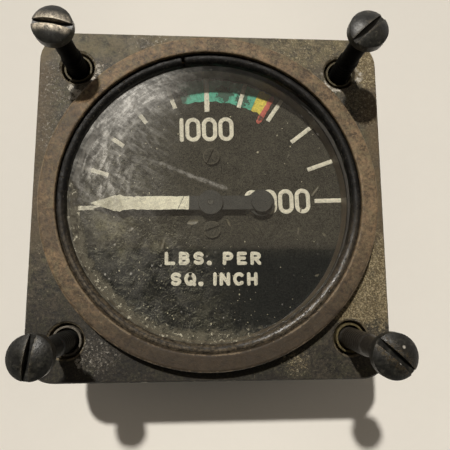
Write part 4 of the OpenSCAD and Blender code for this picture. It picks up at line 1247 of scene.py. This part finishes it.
class GAUGE_OT_pointer(Operator):
    """Pointer: its strip, the cracked cream paint on it, the hub and the counterweight."""
    bl_idname = "gauge.pointer"
    bl_label = "Pointer"

    def execute(self, context):
        c = gauge_colours()
        black = plain_material("pointer_black", c.black, 0.58, depth=0.03, patch=1.5, dark=0.75, pale=1.6,
                               fleck=c.dial_dust, Specular_IOR_Level=0.3)
        give("pointer_blade", black)
        for node in ("pointer_hub", "pointer_weight"):
            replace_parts(worn_copy(node, black, width=0.1 * MM), node)
        give("pointer_arbor",
             metal_material("arbor_steel", srgb(70, 67, 61), rough=0.4, dirt=0.6, metallic=0.6))
        flakes = []
        # Two flakes of paint: start and end along the pointer, lift of the start, the slanted end, and a seed
        for x0, x1, tilt, slanted, seed in ((5.35, 21.1, 0.0, 5.35, 61), (3.85, 5.25, 0.05, 5.25, 67)):
            s = np.linspace(0, 1, 90)[:, None]
            v = np.linspace(-1, 1, 13)[None, :]
            x = x0 + (x1 - x0) * s
            half = np.interp(x, [0, 15.2, 16.2, 17.0, 21.2, 22.0], [1.2, 1.2, 1.52, 1.36, 0.1, 0.05])
            half = half * (1 + 0.035 * ripple(np.concatenate([x, 0 * x], -1), 1.1, seed))[:, None]
            x = x + 0.55 * v * np.clip(1 - abs(x - slanted) / 1.5, 0, 1)
            y = half * v
            bumps = 0.012 * ripple(np.stack([x, y], -1), 0.9, seed + 1)
            top = PAINT_Z + tilt * (1 - s) + bumps - 0.03 * v ** 6
            plan = turned(x, y, POINTER_DIR)
            over = np.concatenate([plan, top[..., None]], -1)
            under = np.concatenate([plan[:, ::-1], np.full(top.shape, PAINT_Z - 0.045)[..., None]], -1)
            flakes.append(shell(np.concatenate([over, under], 1)))
        cream = ink_material("pointer_cream", c.pointer, dirty=0.5, crack=1.3, tip=True)
        piece("pointer_paint", flakes, cream, "pointer", sharp=40)
        return {"FINISHED"}


class GAUGE_OT_screws(Operator):
    """The four mounting screws: domed head with a worn slot, plain shank, thread clogged with paint."""
    bl_idname = "gauge.screws"
    bl_label = "Mounting screws"

    def execute(self, context):
        depth = in_mm(gauge_sizes().thread_depth)
        # Rows of the shank, as distances from under its head: plain, thread at nine to a turn, and the point
        thread = np.arange(THREAD_FROM + 0.05, THREAD_TO, PITCH / 9)
        down = np.concatenate([[-0.3, 0.0, 1.0, 3.0, 5.0, 6.7, 6.85, THREAD_FROM], thread,
                               [18.62, 18.85, 19.05]])[:, None]
        t = np.radians(np.arange(0, 360, 7.5))[None, :]
        for where, under in HEAD_UNDER.items():
            node = "screw_" + where
            finish = screw_material(where)
            head = worn_copy(node, finish, width=0.16 * MM, keep_above=under - 0.02,
                             name=node + "_head")
            ramp = np.clip((down - THREAD_FROM) / 0.5, 0, 1)
            phase = (down / PITCH + t / (2 * math.pi)) % 1
            ridge = 1 - np.clip(abs(phase - 0.5) * 2 - 0.12, 0, 0.75) / 0.75
            hidden = np.clip((down - under + 0.6) / 1.5, 0, 1)
            cut = depth + (0.36 - depth) * hidden
            radius = 1.5 + ramp * (0.24 - cut * (1 - ridge))
            pointed = np.minimum(radius, 1.74 - (down - THREAD_TO) * 0.9)
            radius = np.where(down > THREAD_TO, pointed, radius)
            grid = polar(radius, t, under - down, *(v * SCREW_XY for v in CORNER[where]))
            shank = piece(node + "_shank", shell(grid), finish, node, sharp=60)
            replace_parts(head, node)
            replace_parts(shank, node)
        return {"FINISHED"}


class GAUGE_OT_back(Operator):
    """Socket, its nut and seal, and the movement inside the case."""
    bl_idname = "gauge.back"
    bl_label = "Back and movement"

    def execute(self, context):
        c = gauge_colours()
        socket = metal_material("socket_brass", times(c.brass, 0.7), rough=0.38, dirt=0.45)
        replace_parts(worn_copy("socket_block", socket), "socket_block")
        give("socket_nut", socket)
        give("socket_seal", plain_material("seal_fibre", c.fibre, rough=0.8, grain=0.25, depth=0.04))
        works = metal_material("works_brass", c.brass, rough=0.3, dirt=0.2)
        steel = metal_material("works_steel", srgb(168, 166, 160), rough=0.25, dirt=0.1)
        for node in ("dial_posts", "pinion", "hairspring_collet", "hairspring_stud", "sector_gear", "link",
                     "tube_tip", "top_plate", "bottom_plate", "pillars", "plate_screws", "foot_screws",
                     "passage_plug"):
            give(node, works)
        for node in ("sector_arbor", "sector_pin", "tip_pin"):
            give(node, steel)
        give("hairspring", metal_material("spring_bronze", times(c.bronze, 1.15), rough=0.22, dirt=0.05))
        tube = curling_tube(metal_material("tube_bronze", c.bronze, rough=0.34, pitch=0.6, dirt=0.3))
        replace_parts(tube, "bourdon_tube")
        return {"FINISHED"}


# Flakes of old paint on the dial: x, y, direction, length, width, and how many degrees round they have curled
FLAKES = ((-3.2, -3.3, 0.0, 1.9, 1.1, 60), (3.3, -3.4, -65.0, 1.5, 0.7, 170),
          (16.1, -4.9, 80.0, 1.3, 0.45, 170), (19.4, 2.6, 52.0, 2.3, 0.9, 170),
          (20.9, -5.6, -60.0, 0.8, 0.5, 90), (19.3, -13.0, 10.0, 0.8, 0.4, 60),
          (-8.6, -7.3, 75.0, 1.7, 1.3, 170), (16.7, -0.9, 75.0, 1.0, 0.4, 150),
          (14.6, 9.3, 60.0, 0.9, 0.35, 150), (-14.2, -4.6, 30.0, 1.2, 0.8, 120))


def curled_flake(x, y, heading, long, wide, curl, seed):
    """A flake on the dial: across it runs an arc of curl degrees, along it a lens shape with ragged ends."""
    s = np.linspace(-1, 1, 13)[:, None]
    v = np.linspace(-1, 1, 11)[None, :]
    bend = math.radians(curl)
    radius = wide / bend
    half = np.sqrt(np.clip(1 - abs(s) ** 3, 0.02, 1))
    half = half * (1 + 0.32 * ripple(np.concatenate([s, 0 * s], 1) * 3, 1.0, seed))[:, None]
    turn = bend / 2 * v * half
    across = radius * np.sin(turn)
    up = radius * (1 - np.cos(turn)) + 0.02 + 0.03 * (1 - half)
    along = s * long / 2 + 0.3 * wide * v * half
    plan = turned(along, across, heading) + [x, y]
    upper = np.dstack([plan, DIAL_TOP + up + 0.03])
    lower = np.dstack([plan, DIAL_TOP + up - 0.015])[:, ::-1]
    return shell(np.concatenate([upper, lower], 1))


class GAUGE_OT_dirt(Operator):
    """Loose dirt behind the glass: grains on the dial and curled flakes of old paint."""
    bl_idname = "gauge.dirt"
    bl_label = "Loose dirt"

    def execute(self, context):
        rng = np.random.default_rng(7)
        # The corners and sides of an icosahedron of radius 1
        golden = (1 + 5 ** 0.5) / 2
        corners = np.array([(-1, golden, 0), (1, golden, 0), (-1, -golden, 0), (1, -golden, 0),
                            (0, -1, golden), (0, 1, golden), (0, -1, -golden), (0, 1, -golden),
                            (golden, 0, -1), (golden, 0, 1), (-golden, 0, -1), (-golden, 0, 1)]) / 1.902
        sides = np.array([(0, 11, 5), (0, 5, 1), (0, 1, 7), (0, 7, 10), (0, 10, 11), (1, 5, 9), (5, 11, 4),
                          (11, 10, 2), (10, 7, 6), (7, 1, 8), (3, 9, 4), (3, 4, 2), (3, 2, 6), (3, 6, 8),
                          (3, 8, 9), (4, 9, 5), (2, 4, 11), (6, 2, 10), (8, 6, 7), (9, 8, 1)])
        angle = np.radians(np.concatenate([rng.uniform(150, 300, 190), rng.uniform(0, 360, 90)]))
        grains = len(angle)
        reach = MARK_OUT * rng.uniform(0.05, 1, grains) ** 0.42
        size = 0.05 + 0.11 * rng.uniform(0, 1, grains) ** 3
        centre = polar(reach, angle, DIAL_TOP + size * 0.55)
        stretch = rng.uniform(0.55, 1.45, (grains, 1, 3)) * [1, 1, 0.6]
        rough = rng.uniform(0.8, 1.2, (grains, len(corners), 1))
        points = centre[:, None] + corners[None] * size[:, None, None] * stretch * rough
        points[..., 2] = np.maximum(points[..., 2], DIAL_TOP + 0.002)
        faces = (sides[None] + len(corners) * np.arange(grains)[:, None, None]).reshape(-1, 3)
        grit = plain_material("dial_grit", srgb(196, 186, 160), rough=0.7, grain=0.1)
        piece("dial_grains", (points.reshape(-1, 3), np.zeros((0, 4), int), faces), grit, "case",
              sharp=30)
        chips = [curled_flake(*place, seed=800 + k) for k, place in enumerate(FLAKES)]
        piece("dial_flakes", chips, plain_material("old_paint", srgb(98, 90, 72), rough=0.5, grain=0.3),
              "case", sharp=50)
        return {"FINISHED"}


class GAUGE_PT_panel(Panel):
    """Sizes, colours and pieces of the gauge."""
    bl_label = "Gauge"
    bl_idname = "GAUGE_PT_panel"
    bl_space_type = "VIEW_3D"
    bl_region_type = "UI"
    bl_category = "Gauge"

    def draw(self, context):
        for operator in PIECES:
            self.layout.operator(operator.bl_idname)
        for group in (gauge_sizes(), gauge_colours()):
            for name in group.bl_rna.properties.keys():
                if name not in ("rna_type", "name"):
                    self.layout.prop(group, name)


PIECES = (GAUGE_OT_stage, GAUGE_OT_case, GAUGE_OT_bezel, GAUGE_OT_glass, GAUGE_OT_dial, GAUGE_OT_pointer,
          GAUGE_OT_screws, GAUGE_OT_back, GAUGE_OT_dirt)
CLASSES = (GaugeSizes, GaugeColours, *PIECES, GAUGE_PT_panel)


def register():
    for cls in CLASSES:
        bpy.utils.register_class(cls)
    bpy.types.Scene.gauge_sizes = PointerProperty(type=GaugeSizes)
    bpy.types.Scene.gauge_colours = PointerProperty(type=GaugeColours)


def unregister():
    del bpy.types.Scene.gauge_colours
    del bpy.types.Scene.gauge_sizes
    for cls in reversed(CLASSES):
        bpy.utils.unregister_class(cls)


def main():
    register()
    make_effects()
    for operator in PIECES:
        group, name = operator.bl_idname.split(".")
        getattr(getattr(bpy.ops, group), name)()
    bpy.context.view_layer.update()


if __name__ == "__main__":
    main()
